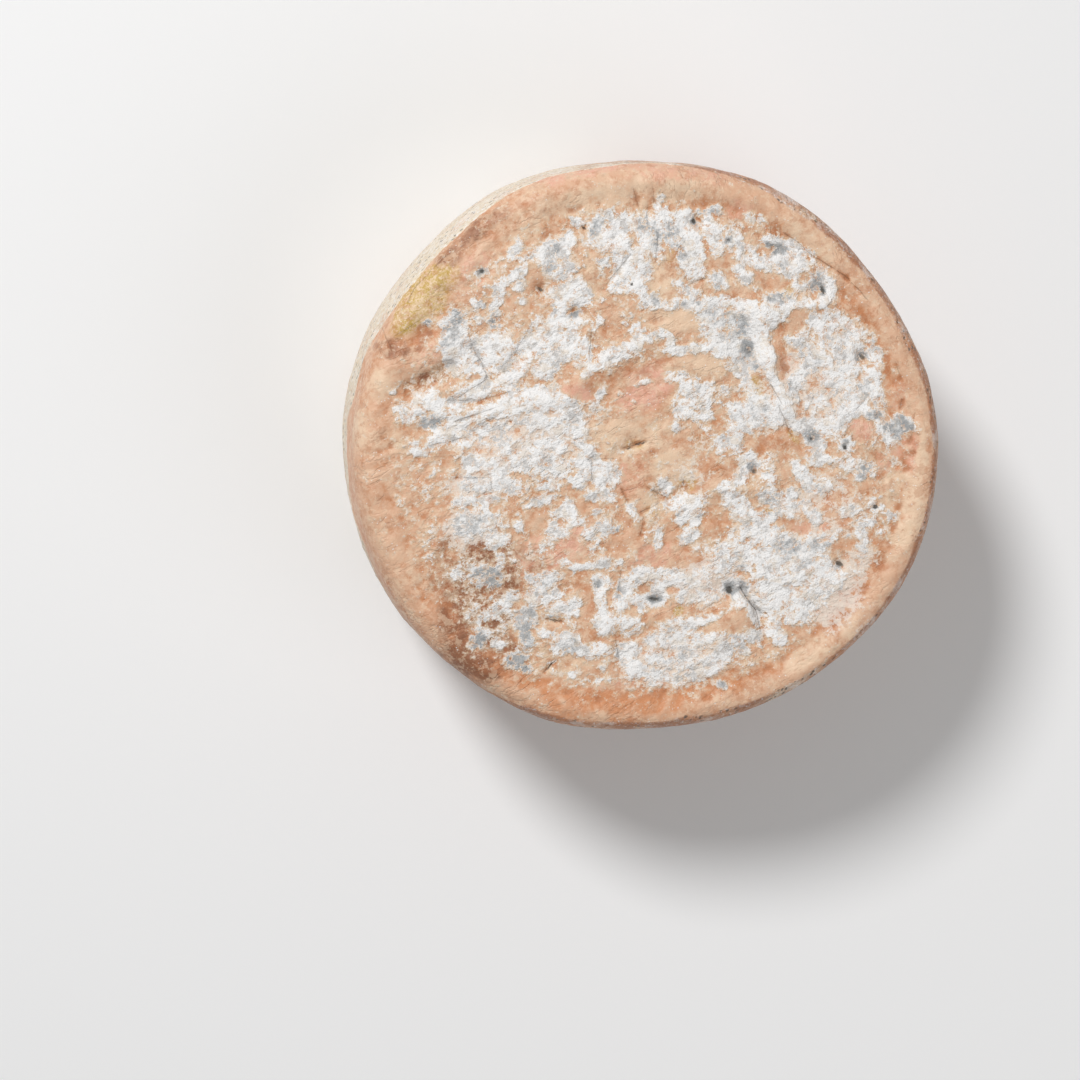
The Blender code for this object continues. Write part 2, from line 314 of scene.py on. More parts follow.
# Where the mould has grown into a crust, from the upper left round to the lower right
GROWTH = oval_rows(
    (50, 50, 6, 6, 0, 0.9), (43, 47, 7, 15, 5, 0.85), (48, 31, 5, 8, 20, 0.8),
    (35, 56, 5, 7, 0, 0.75), (-83, 89, 3.4, 3.4, 0, 0.95), (-67, 99, 7.5, 2.6, 52, 0.9),
    (-65, 88, 5, 2.6, 20, 0.85), (-74, 82, 6, 2.6, 50, 0.85), (-65, 82, 4, 2.2, 20, 0.85),
    (-85, 74, 3.5, 2.4, -30, 0.95), (-76, 75, 6, 2.8, 45, 0.85), (-65, 75, 3, 2, 0, 0.8),
    (-85, 66, 2.4, 2, 0, 0.85), (-50, 97, 8.5, 7, 70, 0.9), (-41, 103, 6, 4.5, 80, 0.75),
    (-42, 90, 6.5, 5.5, 60, 0.8), (-35, 113, 4.5, 2.8, -20, 0.9), (-22, 111, 11, 8.5, 50, 0.95),
    (-12, 113, 7.5, 6.5, 0, 0.95), (-15, 103, 8, 6, 60, 0.9), (-3, 109, 9, 5, 100, 0.8),
    (-24, 94, 4.5, 2.8, 0, 0.85), (-9, 91, 10.5, 8, 50, 1), (-17, 85, 7.5, 3.5, 55, 0.95),
    (-6, 82, 6, 5, 0, 0.8), (-42, 77, 8, 6, 60, 1), (-33, 79, 8, 6, 90, 1),
    (-46, 68, 6.5, 4.5, 60, 0.9), (-39, 65, 7, 4.5, 10, 0.9), (-76, 65, 6, 4, 90, 0.6),
    (-96, 57, 10.5, 6, 50, 0.9), (-98, 67, 6, 5, 60, 0.75), (-97, 47, 7, 5, 70, 0.85),
    (-110, 64, 3, 2.6, 0, 0.9), (-88, 49, 11, 7, 75, 0.9), (-79, 55, 9, 5, 20, 0.85),
    (-72, 49, 7, 6, 0, 0.8), (-79, 44, 6, 6, 0, 0.95), (-68, 40, 9, 6, 40, 0.9),
    (-82, 34, 9, 4.5, 30, 0.95), (-61, 53, 10, 5, 50, 0.9), (-52, 60, 6, 6, 0, 0.7),
    (-45, 53, 11, 9, 30, 0.8), (-34, 53, 7.5, 4, 100, 0.65), (-51, 42, 9, 6, 30, 0.8),
    (-31, 43, 6, 5, 30, 0.75), (-23, 45, 9, 4, 35, 1), (-11, 51, 10, 3.4, 32, 1),
    (-3, 56, 6, 3, 0, 0.8), (-113, 24, 6, 5, 60, 0.95), (-106, 26, 5.5, 5, 0, 0.95),
    (-109, 16, 6.5, 4.2, 10, 0.9), (-98, 23, 9, 5, 20, 0.85), (-89, 29, 10, 4, 22, 0.9),
    (-123, 22, 5, 5, 0, 0.65), (-120, 17, 6, 3, 0, 0.65), (-127, 31, 2.2, 1.6, 0, 0.95),
    (-95, 15, 10, 4.2, 25, 0.9), (-85, 20, 10, 4.2, 25, 0.9), (-101, 7, 9, 4.2, 20, 0.85),
    (-85, 10, 9, 4.5, 30, 0.8), (-74, 12, 7, 5, 0, 0.6), (-62, 26, 16, 6, 18, 1),
    (-75, 21, 8, 4.2, 20, 1), (-50, 27, 9, 7, -10, 1), (-40, 20, 9, 5.5, -30, 1),
    (-58, 16, 10, 5.5, 0, 0.8), (-45, 14, 8.5, 6.5, 0, 0.8), (-36, 8, 5, 8, 10, 0.8),
    (-50, 4, 10, 6, 0, 0.75), (-67, 3, 8, 5, 0, 0.7), (-112, 3, 8, 3, 10, 0.6),
    (-24, 65, 3.2, 1.8, 120, 0.9), (-15, 69, 2.4, 1.6, 0, 0.9), (-13, 64, 2.2, 1.8, 0, 0.9),
    (-6, 60, 4.5, 4, 0, 0.7), (-14, 30, 2.6, 2, 60, 1), (-8, 25, 1.8, 1.4, 0, 1),
    (-3, 34, 4.5, 1.4, 15, 1), (-25, 28, 6, 3, 50, 0.75), (6, 121, 7, 3.6, 100, 0.85),
    (4, 112, 6.5, 4.5, 90, 0.8), (1, 103, 6.5, 5, 0, 0.8), (14, 117, 7.5, 3, 15, 0.85),
    (10, 108, 8.5, 6, 100, 0.95), (20, 107, 11, 7, 95, 1), (22, 96, 9.5, 6.5, 95, 1),
    (27, 118, 6.5, 3, 20, 0.75), (33, 120, 3.4, 3, 0, 0.9), (30, 112, 6, 4.5, 90, 0.9),
    (33, 104, 8, 4.5, 90, 0.8), (41, 106, 6, 5, 0, 0.75), (47, 98, 5.5, 4.2, 0, 0.75),
    (52, 116, 5, 4, 0, 0.6), (62, 104, 7, 3.4, -10, 0.95), (70, 100, 9.5, 5.5, -25, 0.95),
    (64, 93, 8, 6, 0, 0.9), (73, 92, 6.5, 6, 0, 0.95), (79, 96, 6.5, 4.5, 130, 0.9),
    (54, 95, 5.5, 3.4, -40, 0.9), (47, 88, 6, 4, -20, 0.95), (86, 89, 5.5, 4, 130, 0.9),
    (90, 82, 6.5, 3.8, 125, 1), (83, 83, 6, 4.5, 90, 0.85), (87, 75, 8, 3, 30, 1),
    (77, 73, 8.5, 2.6, 14, 0.95), (66, 74, 8, 4.2, 10, 0.8), (75, 81, 5, 2.6, 20, 0.5),
    (35, 84, 6.5, 3.4, 110, 0.85), (13, 83, 4, 3.2, 0, 0.85), (20, 79, 7.5, 3.4, -10, 0.8),
    (2, 75, 6, 4.5, 0, 0.8), (12, 73, 8, 2.8, 0, 0.75), (23, 73, 7, 3.8, 0, 0.85),
    (33, 73, 7, 4.5, 0, 0.9), (35, 67, 11, 5.5, -20, 0.95), (45, 63, 9, 8, 0, 0.95),
    (30, 61, 5.5, 4.5, 0, 0.8), (48, 72, 9, 4, -10, 1), (57, 69, 9, 5.5, 25, 1),
    (64, 66, 7, 3.6, 40, 0.95), (54, 60, 10, 5.5, 105, 1), (58, 48, 10, 4.2, 110, 1),
    (62, 38, 8.5, 3, 110, 1), (65, 29, 10, 2.8, 115, 1), (70, 18, 9, 3, 120, 0.95),
    (37, 52, 8.5, 6, -30, 0.9), (48, 45, 6.5, 5, 0, 0.75), (14, 50, 8, 2.8, -5, 0.95),
    (23, 51, 6.5, 2.4, 10, 0.9), (5, 59, 3.5, 2.8, 0, 0.9), (11, 55, 4, 1.8, 110, 0.9),
    (12, 37, 6, 3.6, 0, 0.75), (22, 31, 8, 5, 0, 0.8), (29, 26, 6.5, 4.5, 0, 0.8),
    (34, 32, 5, 4, 0, 0.7), (15, 23, 6, 5, 0, 0.75), (24, 19, 7, 4, 0, 0.8),
    (48, 20, 8.5, 6.5, 0, 0.95), (57, 23, 8, 6, 0, 0.95), (56, 14, 9, 6, 0, 1),
    (64, 19, 7.5, 5.5, 90, 1), (46, 10, 6.5, 5, 0, 0.9), (72, 26, 6, 3.8, 100, 0.9),
    (40, 4, 8, 5, 0, 0.9), (13, 12, 3, 2.8, 0, 0.85), (75, 35, 5.5, 4.5, 0, 0.85),
    (85, 65, 7.5, 5.5, 40, 0.85), (94, 65, 6, 5, 0, 0.85), (92, 57, 9, 7, 0, 0.8),
    (101, 57, 8.5, 6.5, 0, 0.85), (108, 55, 7, 6.5, 90, 0.85), (113, 49, 5, 4.5, 0, 0.85),
    (99, 49, 9, 5.5, 0, 0.75), (78, 55, 6, 5, 0, 0.7), (70, 55, 5, 3.6, 0, 0.6),
    (85, 46, 8.5, 5, 0, 0.85), (81, 41, 6, 4, 0, 0.75), (91, 41, 6, 4.2, 0, 0.75),
    (102, 41, 8.5, 4.2, 0, 0.75), (95, 35, 8.5, 4.2, 0, 0.8), (112, 36, 7, 5, 60, 0.9),
    (106, 29, 6.5, 6, 0, 0.85), (115, 27, 6.5, 4.2, 100, 0.85), (100, 27, 6, 5.5, 0, 0.8),
    (85, 28, 6.5, 3.2, 0, 0.7), (88, 20, 8.5, 4.2, 0, 0.6), (97, 20, 6.5, 5, 0, 0.9),
    (105, 21, 5.5, 4, 0, 0.85), (81, 11, 8, 5.5, 0, 0.9), (90, 12, 8.5, 5.5, 0, 0.85),
    (97, 14, 5.5, 5, 0, 0.85), (84, 3, 6.5, 4.2, 0, 0.75), (98, 3, 4.5, 4, 0, 0.65),
    (114, 17, 6, 2.6, -10, 0.95), (128, 13, 7.5, 4.8, -20, 1), (124, 7, 6.5, 5.5, 0, 0.95),
    (119, 10, 4.5, 3.5, 90, 0.7), (-60, -5, 11, 6, 0, 0.8), (-76, -7, 8, 5, 0, 0.7),
    (-45, -6, 9, 6.5, 0, 0.85), (-30, -4, 9, 5, 0, 0.95), (-23, -11, 8.5, 7, 0, 1),
    (-35, -13, 6.5, 5, 0, 0.85), (-50, -14, 8.5, 4.2, 0, 0.75), (-87, -4, 6, 5, 0, 0.75),
    (-85, -15, 11, 4, 3, 0.95), (-70, -16, 8.5, 4.2, 0, 0.8), (-92, -24, 5.5, 3.6, 0, 0.85),
    (-80, -23, 5.5, 2.2, 0, 0.85), (-55, -24, 8.5, 2.4, 15, 0.8), (-90, -35, 8.5, 7, 20, 0.9),
    (-78, -34, 7.5, 4.2, 0, 0.8), (-75, -44, 7.5, 4.2, 0, 0.7), (-66, -36, 3, 3, 0, 0.75),
    (-41, -28, 6.5, 3.8, 60, 1), (-38, -34, 4.5, 3.4, 0, 0.9), (-48, -40, 7, 5, 0, 0.9),
    (-51, -45, 5, 3.6, 0, 0.85), (-26, -40, 6.5, 4.6, 20, 0.95), (-17, -39, 3, 2.8, 0, 0.85),
    (-27, -30, 2.6, 2, 0, 0.95), (-23, -21, 7, 4.2, 0, 0.8), (-8, -30, 5.5, 2.8, 120, 0.8),
    (-42, -54, 3.4, 2, 0, 0.95), (-33, -56, 7.5, 1.8, 12, 0.95), (-21, -55, 8, 2.6, 10, 0.9),
    (-25, -64, 6.5, 4, 0, 0.85), (-55, -62, 9, 4.2, 0, 0.75), (-54, -70, 9.5, 6, 0, 0.85),
    (-61, -86, 9.5, 5.5, 85, 0.9), (-53, -89, 5.5, 3, 0, 0.8), (-44, -78, 7.5, 4.2, 0, 0.75),
    (-36, -77, 5, 5, 0, 0.8), (-40, -94, 6.5, 5.2, 0, 0.95), (-35, -98, 10, 4.2, -8, 0.95),
    (-25, -99, 6.5, 4.2, 0, 0.9), (-24, -75, 7.5, 2.6, 105, 0.9), (-22, -85, 6.5, 5, 0, 0.9),
    (-13, -70, 8.5, 5, 70, 0.85), (-5, -62, 8.5, 5, 45, 0.8), (-5, -75, 6, 5, 0, 0.7),
    (-10, -100, 6.5, 6, 0, 0.95), (-6, -108, 6, 5.5, 90, 0.95), (-38, -110, 2.4, 2, 0, 1),
    (-10, -86, 6.5, 5, 0, 0.65), (-90, -58, 9, 6, 0, 0.6), (-78, -61, 7, 5, 60, 0.6),
    (-75, -76, 13, 3.4, 35, 0.7), (-86, -92, 6, 6, 0, 0.7), (-75, -95, 3.5, 3.2, 0, 0.8),
    (-66, -105, 7.5, 5, -30, 0.75), (8, -17, 5, 3.6, 130, 0.9), (18, -26, 9, 4.5, 5, 0.95),
    (20, -32, 8, 5, 0, 0.85), (43, -25, 7, 5, -40, 0.95), (48, -31, 7, 5, -40, 0.95),
    (40, -16, 7.5, 3, 10, 0.8), (46, -12, 6, 3, 20, 0.75), (51, -5, 6, 4.2, 90, 0.9),
    (61, -12, 5.5, 4.2, 90, 0.75), (61, -22, 6.5, 4.2, 0, 0.8), (68, -28, 8, 5, -30, 0.85),
    (72, -21, 4.2, 3.4, 0, 0.9), (57, -34, 6.5, 4.2, 0, 0.95), (76, -10, 6, 3.8, 120, 0.9),
    (80, -16, 4.5, 3.6, 90, 0.85), (86, -4, 6.5, 3, 0, 0.8), (88, -17, 6, 4.5, 0, 0.6),
    (84, -33, 4, 3.6, 0, 0.95), (100, -30, 7, 4.2, 0, 0.75), (107, -36, 6.5, 4, 0, 0.8),
    (108, -44, 6.5, 2.8, 95, 0.8), (122, -34, 5, 3.6, 0, 0.8), (116, -27, 5, 3.4, -40, 0.7),
    (109, -10, 6.5, 4.5, 0, 0.65), (100, -5, 6.5, 4, 0, 0.55), (5, -44, 5.5, 2.4, 85, 0.95),
    (21, -42, 6, 5.5, 0, 0.9), (26, -50, 5, 3.6, 0, 0.6), (50, -43, 11, 6, 20, 0.9),
    (62, -43, 8.5, 6, 0, 0.85), (70, -48, 11, 7, 0, 0.9), (82, -48, 11, 5.5, 25, 0.9),
    (92, -43, 6.5, 3, 30, 0.9), (60, -56, 13, 8.5, 0, 0.95), (75, -58, 13, 8.5, 0, 0.95),
    (88, -57, 8.5, 6, 0, 0.9), (42, -50, 9.5, 6, 0, 0.75), (35, -56, 7.5, 5, 0, 0.65),
    (68, -68, 13, 9.5, 0, 1), (80, -72, 10, 8.5, 0, 0.95), (62, -76, 8.5, 6, 0, 0.9),
    (75, -82, 8, 5.5, 0, 0.9), (91, -65, 9, 6, 0, 0.75), (8, -63, 7.5, 5, 0, 0.95),
    (16, -61, 5.5, 4.2, 0, 0.85), (3, -73, 6.5, 4.2, 0, 0.95), (25, -63, 9.5, 7, 0, 0.62),
    (30, -71, 8.5, 5.5, 0, 0.6), (19, -73, 6, 4.2, 0, 0.6), (42, -67, 7, 5.5, 0, 1),
    (48, -73, 7, 6, 0, 1), (53, -81, 6.5, 3.6, 125, 1), (12, -87, 6, 3.4, 20, 0.9),
    (26, -84, 13, 2.6, 18, 0.9), (20, -89, 4.2, 3.4, 90, 0.85), (5, -94, 8, 3.8, 0, 0.85),
    (16, -95, 6.5, 4.2, 0, 0.9), (26, -95, 7, 4.2, 0, 0.8), (35, -92, 6.5, 3, 20, 0.85),
    (2, -103, 6.5, 3.2, 0, 0.8), (11, -106, 7.5, 3.2, 0, 0.75), (22, -102, 8, 5.2, 0, 0.85),
    (33, -105, 8, 6, 0, 0.85), (25, -111, 8, 4.2, 0, 0.85), (38, -99, 5.5, 4.2, 0, 0.85),
    (15, -113, 6, 3, 90, 0.85), (3, -112, 7, 4.2, 0, 0.8), (46, -97, 7.5, 2.8, 130, 0.85),
    (50, -93, 6.5, 2.8, 10, 0.8), (63, -88, 5.5, 4.2, 90, 0.75), (66, -95, 4.2, 3.8, 0, 0.85),
    (37, -117, 3.4, 3, 0, 0.8),
)

# Where the bare rind shows between the crusts
BARE = oval_rows(
    (-68, 73, 5, 3, 60, 0.9), (-57, 88, 6, 2.8, 80, 0.8), (-36, 32, 9, 4.5, -15, 0.9),
    (-19, 62, 11, 6, 80, 0.7), (-29, 88, 9, 3.2, 95, 0.9), (-12, 35, 11, 6.5, 40, 1),
    (0, 26, 13, 10, 20, 1), (2, 42, 9, 6, 20, 0.9), (-10, 12, 15, 8, 0, 0.9),
    (8, 4, 12, 8, 0, 0.8), (12, 64, 12, 6, 0, 1), (20, 44, 15, 4, 0, 0.9), (38, 40, 6, 6, 0, 0.9),
    (45, 30, 4.5, 6, 0, 0.8), (28, 96, 5, 3, 90, 0.6), (8, 86, 5, 10, 0, 0.8),
    (35, 93, 6, 3, 0, 0.7), (60, 84, 10, 3.5, -5, 1), (45, 78, 10, 2.4, -5, 0.9),
    (73, 66, 8, 4, 60, 0.9), (66, 50, 3, 12, 0, 0.9), (67, 42, 3.2, 6, 0, 0.9),
    (79, 33, 6, 2.4, 60, 0.8), (53, 6, 6, 6, 0, 0.8), (62, 7, 6, 4, 0, 0.8),
    (107, 11, 6, 5, 0, 0.9), (73, 6, 4, 5, 0, 0.8), (-40, -23, 9, 5, -20, 0.6),
    (-56, -36, 5, 12, 20, 0.9), (-40, -46, 10, 5, 0, 0.7), (-32, -72, 4, 10, 0, 0.8),
    (-13, -45, 12, 6, 60, 0.8), (-6, -14, 12, 6, 40, 0.9), (-3, -25, 4, 6, 0, 0.9),
    (12, -40, 6, 3, 90, 0.8), (31, -37, 6, 5, 0, 0.9), (12, -52, 16, 5, 0, 0.9),
    (33, -10, 6, 6, 0, 0.9), (68, -12, 5, 6, 0, 0.8), (76, -37, 6, 3, 0, 0.8),
    (92, -28, 5, 8, 0, 0.8), (98, -38, 10, 3, 20, 0.8), (41, -86, 10, 5, 20, 1),
    (33, -79, 7, 3, 20, 0.9), (10, -80, 9, 2.6, 10, 0.8), (-30, -90, 5, 4, 0, 0.7),
)

# Thin bloom that veils the rind without hiding it
VEIL = oval_rows(
    (97, -75, 16, 12, 60, 0.9), (105, -60, 13, 9, 60, 0.5), (110, -84, 10, 6, 60, 0.5),
    (28, -64, 16, 12, 0, 0.6), (20, -10, 12, 8, 0, 0.3), (-86, -15, 14, 6, 0, 0.7),
    (-90, -37, 12, 8, 0, 0.8), (90, -30, 18, 16, 0, 0.35), (-60, 8, 30, 12, 10, 0.5),
    (80, 30, 30, 20, 0, 0.35), (10, -104, 26, 12, 0, 0.4),
)

# Grey and blue tints in the white crust
GREYS = oval_rows(
    (-83, 90, 2.2, 2.2, 0, 1), (-65, 103, 3, 1.8, 50, 0.7), (-48, 100, 7, 5, 90, 0.7),
    (-50, 92, 4, 3, 0, 0.9), (-26, 112, 9, 3, 60, 0.6), (-4, 112, 5, 4, 110, 0.9),
    (-24, 94, 3.6, 2.4, 0, 0.6), (-55, 81, 4.5, 2.6, -20, 1), (-37, 69, 3.6, 3.6, 0, 0.9),
    (-49, 70, 4, 2.4, 60, 0.7), (-77, 64, 3.6, 3.6, 0, 0.9), (-110, 64, 3.2, 2.6, 0, 0.9),
    (-100, 58, 11, 5, 50, 0.9), (-95, 67, 6, 5, 50, 0.8), (-46, 44, 4, 3, 0, 0.6),
    (-66, 35, 3.2, 5, 10, 0.5), (-108, 16, 6, 3.4, 10, 0.8), (-58, 20, 6, 4, 0, 0.4),
    (2, 107, 4, 8, 20, 0.6), (12, 106, 5, 8, 30, 0.7), (15, 97, 5, 4.5, 60, 0.7),
    (29, 120, 6, 3, 10, 0.7), (23, 114, 3.4, 2.6, 60, 1), (31, 108, 4, 6, 0, 0.5),
    (39, 105, 2.6, 2.6, 0, 0.9), (63, 101, 7, 3.4, -10, 1), (64, 90, 6, 4.5, 0, 0.6),
    (75, 96, 3.6, 3, 0, 0.6), (83, 83, 5, 6, 0, 0.8), (87, 80, 2.4, 3.6, 20, 1),
    (67, 77, 9, 3, 15, 0.8), (34, 83, 2.8, 5.5, 20, 0.7), (5, 75, 6, 3.4, 0, 0.7),
    (22, 74, 8, 3, 0, 0.6), (33, 68, 9, 5, -10, 0.6), (43, 62, 8, 7, 0, 0.6), (49, 50, 4, 6, 0, 1),
    (54, 39, 3, 8, 20, 0.7), (107, 46, 3, 2.4, 0, 1), (82, 45, 5, 4, 0, 0.6),
    (106, 29, 6, 5, 30, 0.6), (69, 33, 3, 3, 0, 0.7), (82, 8, 4.5, 3.4, 0, 0.9),
    (114, 17, 6, 3, 0, 0.9), (127, 11, 9, 7, -20, 0.95), (51, 20, 12, 5, 20, 0.4),
    (98, 3, 2.4, 3, 0, 0.9), (-55, -20, 12, 5, 10, 0.5), (-86, -15, 12, 5, 0, 0.5),
    (-92, -35, 10, 7, 0, 0.6), (-60, -86, 10, 6, 80, 0.9), (-66, -105, 8, 5, -30, 1),
    (-85, -93, 5, 6, 0, 1), (-55, -66, 12, 8, 0, 0.5), (-80, -62, 8, 6, 0, 0.9),
    (-49, -83, 7, 3, 0, 1), (-40, -96, 6, 6, 60, 0.7), (-26, -64, 3, 3, 0, 0.8),
    (-14, -68, 3, 8, 0, 0.5), (-15, -90, 3, 6, 0, 0.6), (-18, -39, 3, 2.8, 0, 0.6),
    (52, -8, 2.6, 2.6, 0, 1), (62, -24, 5, 4, -30, 0.6), (70, -48, 9, 5, 0, 0.7),
    (85, -47, 9, 3.6, 20, 0.7), (78, -57, 6, 4, -30, 0.6), (97, -57, 3, 2, -20, 1),
    (41, -69, 3.4, 5, 0, 1), (46, -62, 4, 8, 20, 0.7), (53, -72, 5, 4, 30, 0.6),
    (3, -73, 4.5, 2.2, 0, 1), (30, -86, 10, 3, 18, 0.5), (16, -108, 3, 7, 0, 0.7),
    (12, -106, 20, 8, 0, 0.35), (110, -10, 6, 4.5, 0, 0.8), (93, -8, 3, 2.6, 0, 0.8),
    (88, -20, 6, 4, 0, 0.6), (115, -27, 3, 2.4, 0, 0.9), (37, -117, 4, 3.6, 0, 0.7),
    (60, -30, 2.6, 2.2, 0, 0.8),
)


class Stain(Enum):
    """The stains that colour the bare rind, each a map kept on the mesh; the damp one is partly
    painted shade.
    """

    SALMON = "salmon"
    CREAM = "cream"
    OLIVE = "olive"
    DAMP_AND_SHADE = "damp_and_shade"


STAINS = {
    Stain.SALMON: oval_rows(
        (-2, 32, 16, 11, 30, 0.9), (-88, 88, 16, 9, 50, 0.6), (-40, 138, 40, 5, 10, 0.7),
        (10, 138, 40, 6, -5, 0.5), (-37, 30, 10, 5, -15, 0.7), (-108, 48, 10, 6, 30, 0.6),
        (43, 116, 10, 7, 40, 0.6), (108, 10, 8, 6, 0, 0.9), (130, 0, 6, 12, 0, 0.8),
        (128, 24, 6, 10, 10, 0.5), (70, 43, 5, 7, 0, 0.6), (122, -6, 8, 6, 0, 0.6),
        (-46, -48, 22, 12, 20, 0.8), (-10, -12, 10, 8, 60, 0.6), (2, -52, 16, 8, 10, 0.6),
        (82, -40, 14, 6, 10, 0.6), (-5, -118, 30, 6, 0, 0.5),
    ),
    Stain.CREAM: oval_rows(
        (128, -20, 9, 11, 20, 0.9), (128, -42, 6, 6, 0, 1), (137, -6, 2.2, 18, -4, 0.9),
        (134, -36, 4, 12, -20, 0.9), (82, -101, 15, 6, 30, 0.6), (104, -88, 10, 5, 45, 0.4),
        (65, -104, 8, 5, 20, 0.4), (15, 128, 13, 5, 0, 0.6), (-36, 122, 30, 6, 16, 0.7),
        (-66, 104, 16, 5, 40, 0.5), (-5, 126, 4, 10, 10, 0.7), (-29, 86, 5, 11, 10, 0.9),
        (5, 84, 5, 11, -10, 0.9), (12, 65, 14, 6, 0, 0.8), (28, 42, 18, 5, 0, 0.8),
        (-12, 8, 20, 9, 0, 0.8), (12, -8, 12, 9, 0, 0.9), (2, -26, 6, 6, 0, 0.8),
        (-134, 34, 6, 7, 0, 0.6), (-128, 6, 8, 6, 0, 0.4), (-144, 12, 3, 10, 0, 0.6),
        (-42, -106, 12, 5, 0, 0.5), (80, 104, 16, 6, -42, 0.5), (74, 110, 6, 3, -40, 0.5),
        (40, 86, 10, 4, 0, 0.5), (28, -84, 6, 4, 0, 0.4),
    ),
    Stain.OLIVE: oval_rows(
        (-110, 78, 19, 10, 52, 1.1), (-117, 69, 13, 7, 48, 1.1), (-120, 84, 15, 6, 52, 1),
        (53, 30, 4.5, 8, -10, 1.2), (46, 56, 2.6, 2.2, 0, 1), (70, 79, 6, 3.4, 10, 0.7),
        (73, 8, 3.4, 5, 30, 0.7), (-8, 3, 6, 3, 10, 0.6), (18, -16, 4.5, 5.5, -20, 0.8),
        (2, -30, 4.5, 3.6, 0, 0.5), (15, -79, 3, 2.4, 20, 1), (-37, 70, 5, 4, 0, 0.5),
        (43, 55, 3.4, 3, 0, 0.6), (11, 96, 3.4, 4, 0, 0.5), (124, 10, 7, 4.5, -30, 0.5),
        (-45, -80, 7, 4, 0, 0.6), (61, -31, 3.6, 2.6, 0, 0.6),
    ),
    # Brown damp rind. It is also painted shade: in the folds and creases at the left, in the groove
    # at the upper left and on the ledge near the bottom, and as a painted cast shadow over the lower
    # left.
    Stain.DAMP_AND_SHADE: oval_rows(
        (-84, -70, 32, 18, 75, 1.4), (-82, -100, 20, 13, 0, 1.3), (-100, -55, 16, 12, 80, 0.6),
        (-58, -53, 8, 6, -20, 0.6), (-127, 52, 10, 5, 0, 0.75), (-112, 55, 7, 3, 45, 0.75),
        (-108, 38, 11, 3.6, 25, 0.8), (-84, 110, 18, 4.4, 38, 0.8), (-99, 96, 9, 5, 45, 0.7),
        (56, -88, 3, 7, 0, 0.7), (75, 32, 4, 5, 30, 0.4), (98, -82, 7, 6, 0, 0.35),
        (-29, 60, 2.4, 7, 0, 0.5), (27, -64, 12, 8, 0, 0.35),
    ),
}


class Wire:
    """A node's socket, so that shader maths reads as a Python expression."""

    def __init__(self, sheet: "Sheet", socket: bpy.types.NodeSocket) -> None:
        """Keeps the socket and the sheet that it lies on."""
        self.sheet = sheet
        self.socket = socket

    def __add__(self, other: "Wire | float") -> "Wire":
        """The sum."""
        return self.sheet.maths("ADD", self, other)

    def __radd__(self, other: float) -> "Wire":
        """The sum, with the wire on the right."""
        return self.sheet.maths("ADD", other, self)

    def __sub__(self, other: "Wire | float") -> "Wire":
        """The difference."""
        return self.sheet.maths("SUBTRACT", self, other)

    def __rsub__(self, other: float) -> "Wire":
        """The difference, with the wire on the right."""
        return self.sheet.maths("SUBTRACT", other, self)

    def __mul__(self, other: "Wire | float") -> "Wire":
        """The product."""
        return self.sheet.maths("MULTIPLY", self, other)

    def __rmul__(self, other: float) -> "Wire":
        """The product, with the wire on the right."""
        return self.sheet.maths("MULTIPLY", other, self)

    def at_least(self, other: "Wire | float") -> "Wire":
        """The larger of two values."""
        return self.sheet.maths("MAXIMUM", self, other)

    def at_most(self, other: "Wire | float") -> "Wire":
        """The smaller of two values."""
        return self.sheet.maths("MINIMUM", self, other)

    def rise(self, low: float, high: float) -> "Wire":
        """0 up to low, 1 from high on, and a smooth rise between them.

        Args:
            low: Where the rise starts.
            high: Where it ends, which may be less than low for a fall.

        Returns:
            The share risen.
        """
        ends = {"From Min": low, "From Max": high}
        if low > high:
            ends = {"From Min": high, "From Max": low, "To Min": 1.0, "To Max": 0.0}
        settings = {"interpolation_type": "SMOOTHSTEP"}
        return self.sheet.node("ShaderNodeMapRange", settings, {"Value": self, **ends})


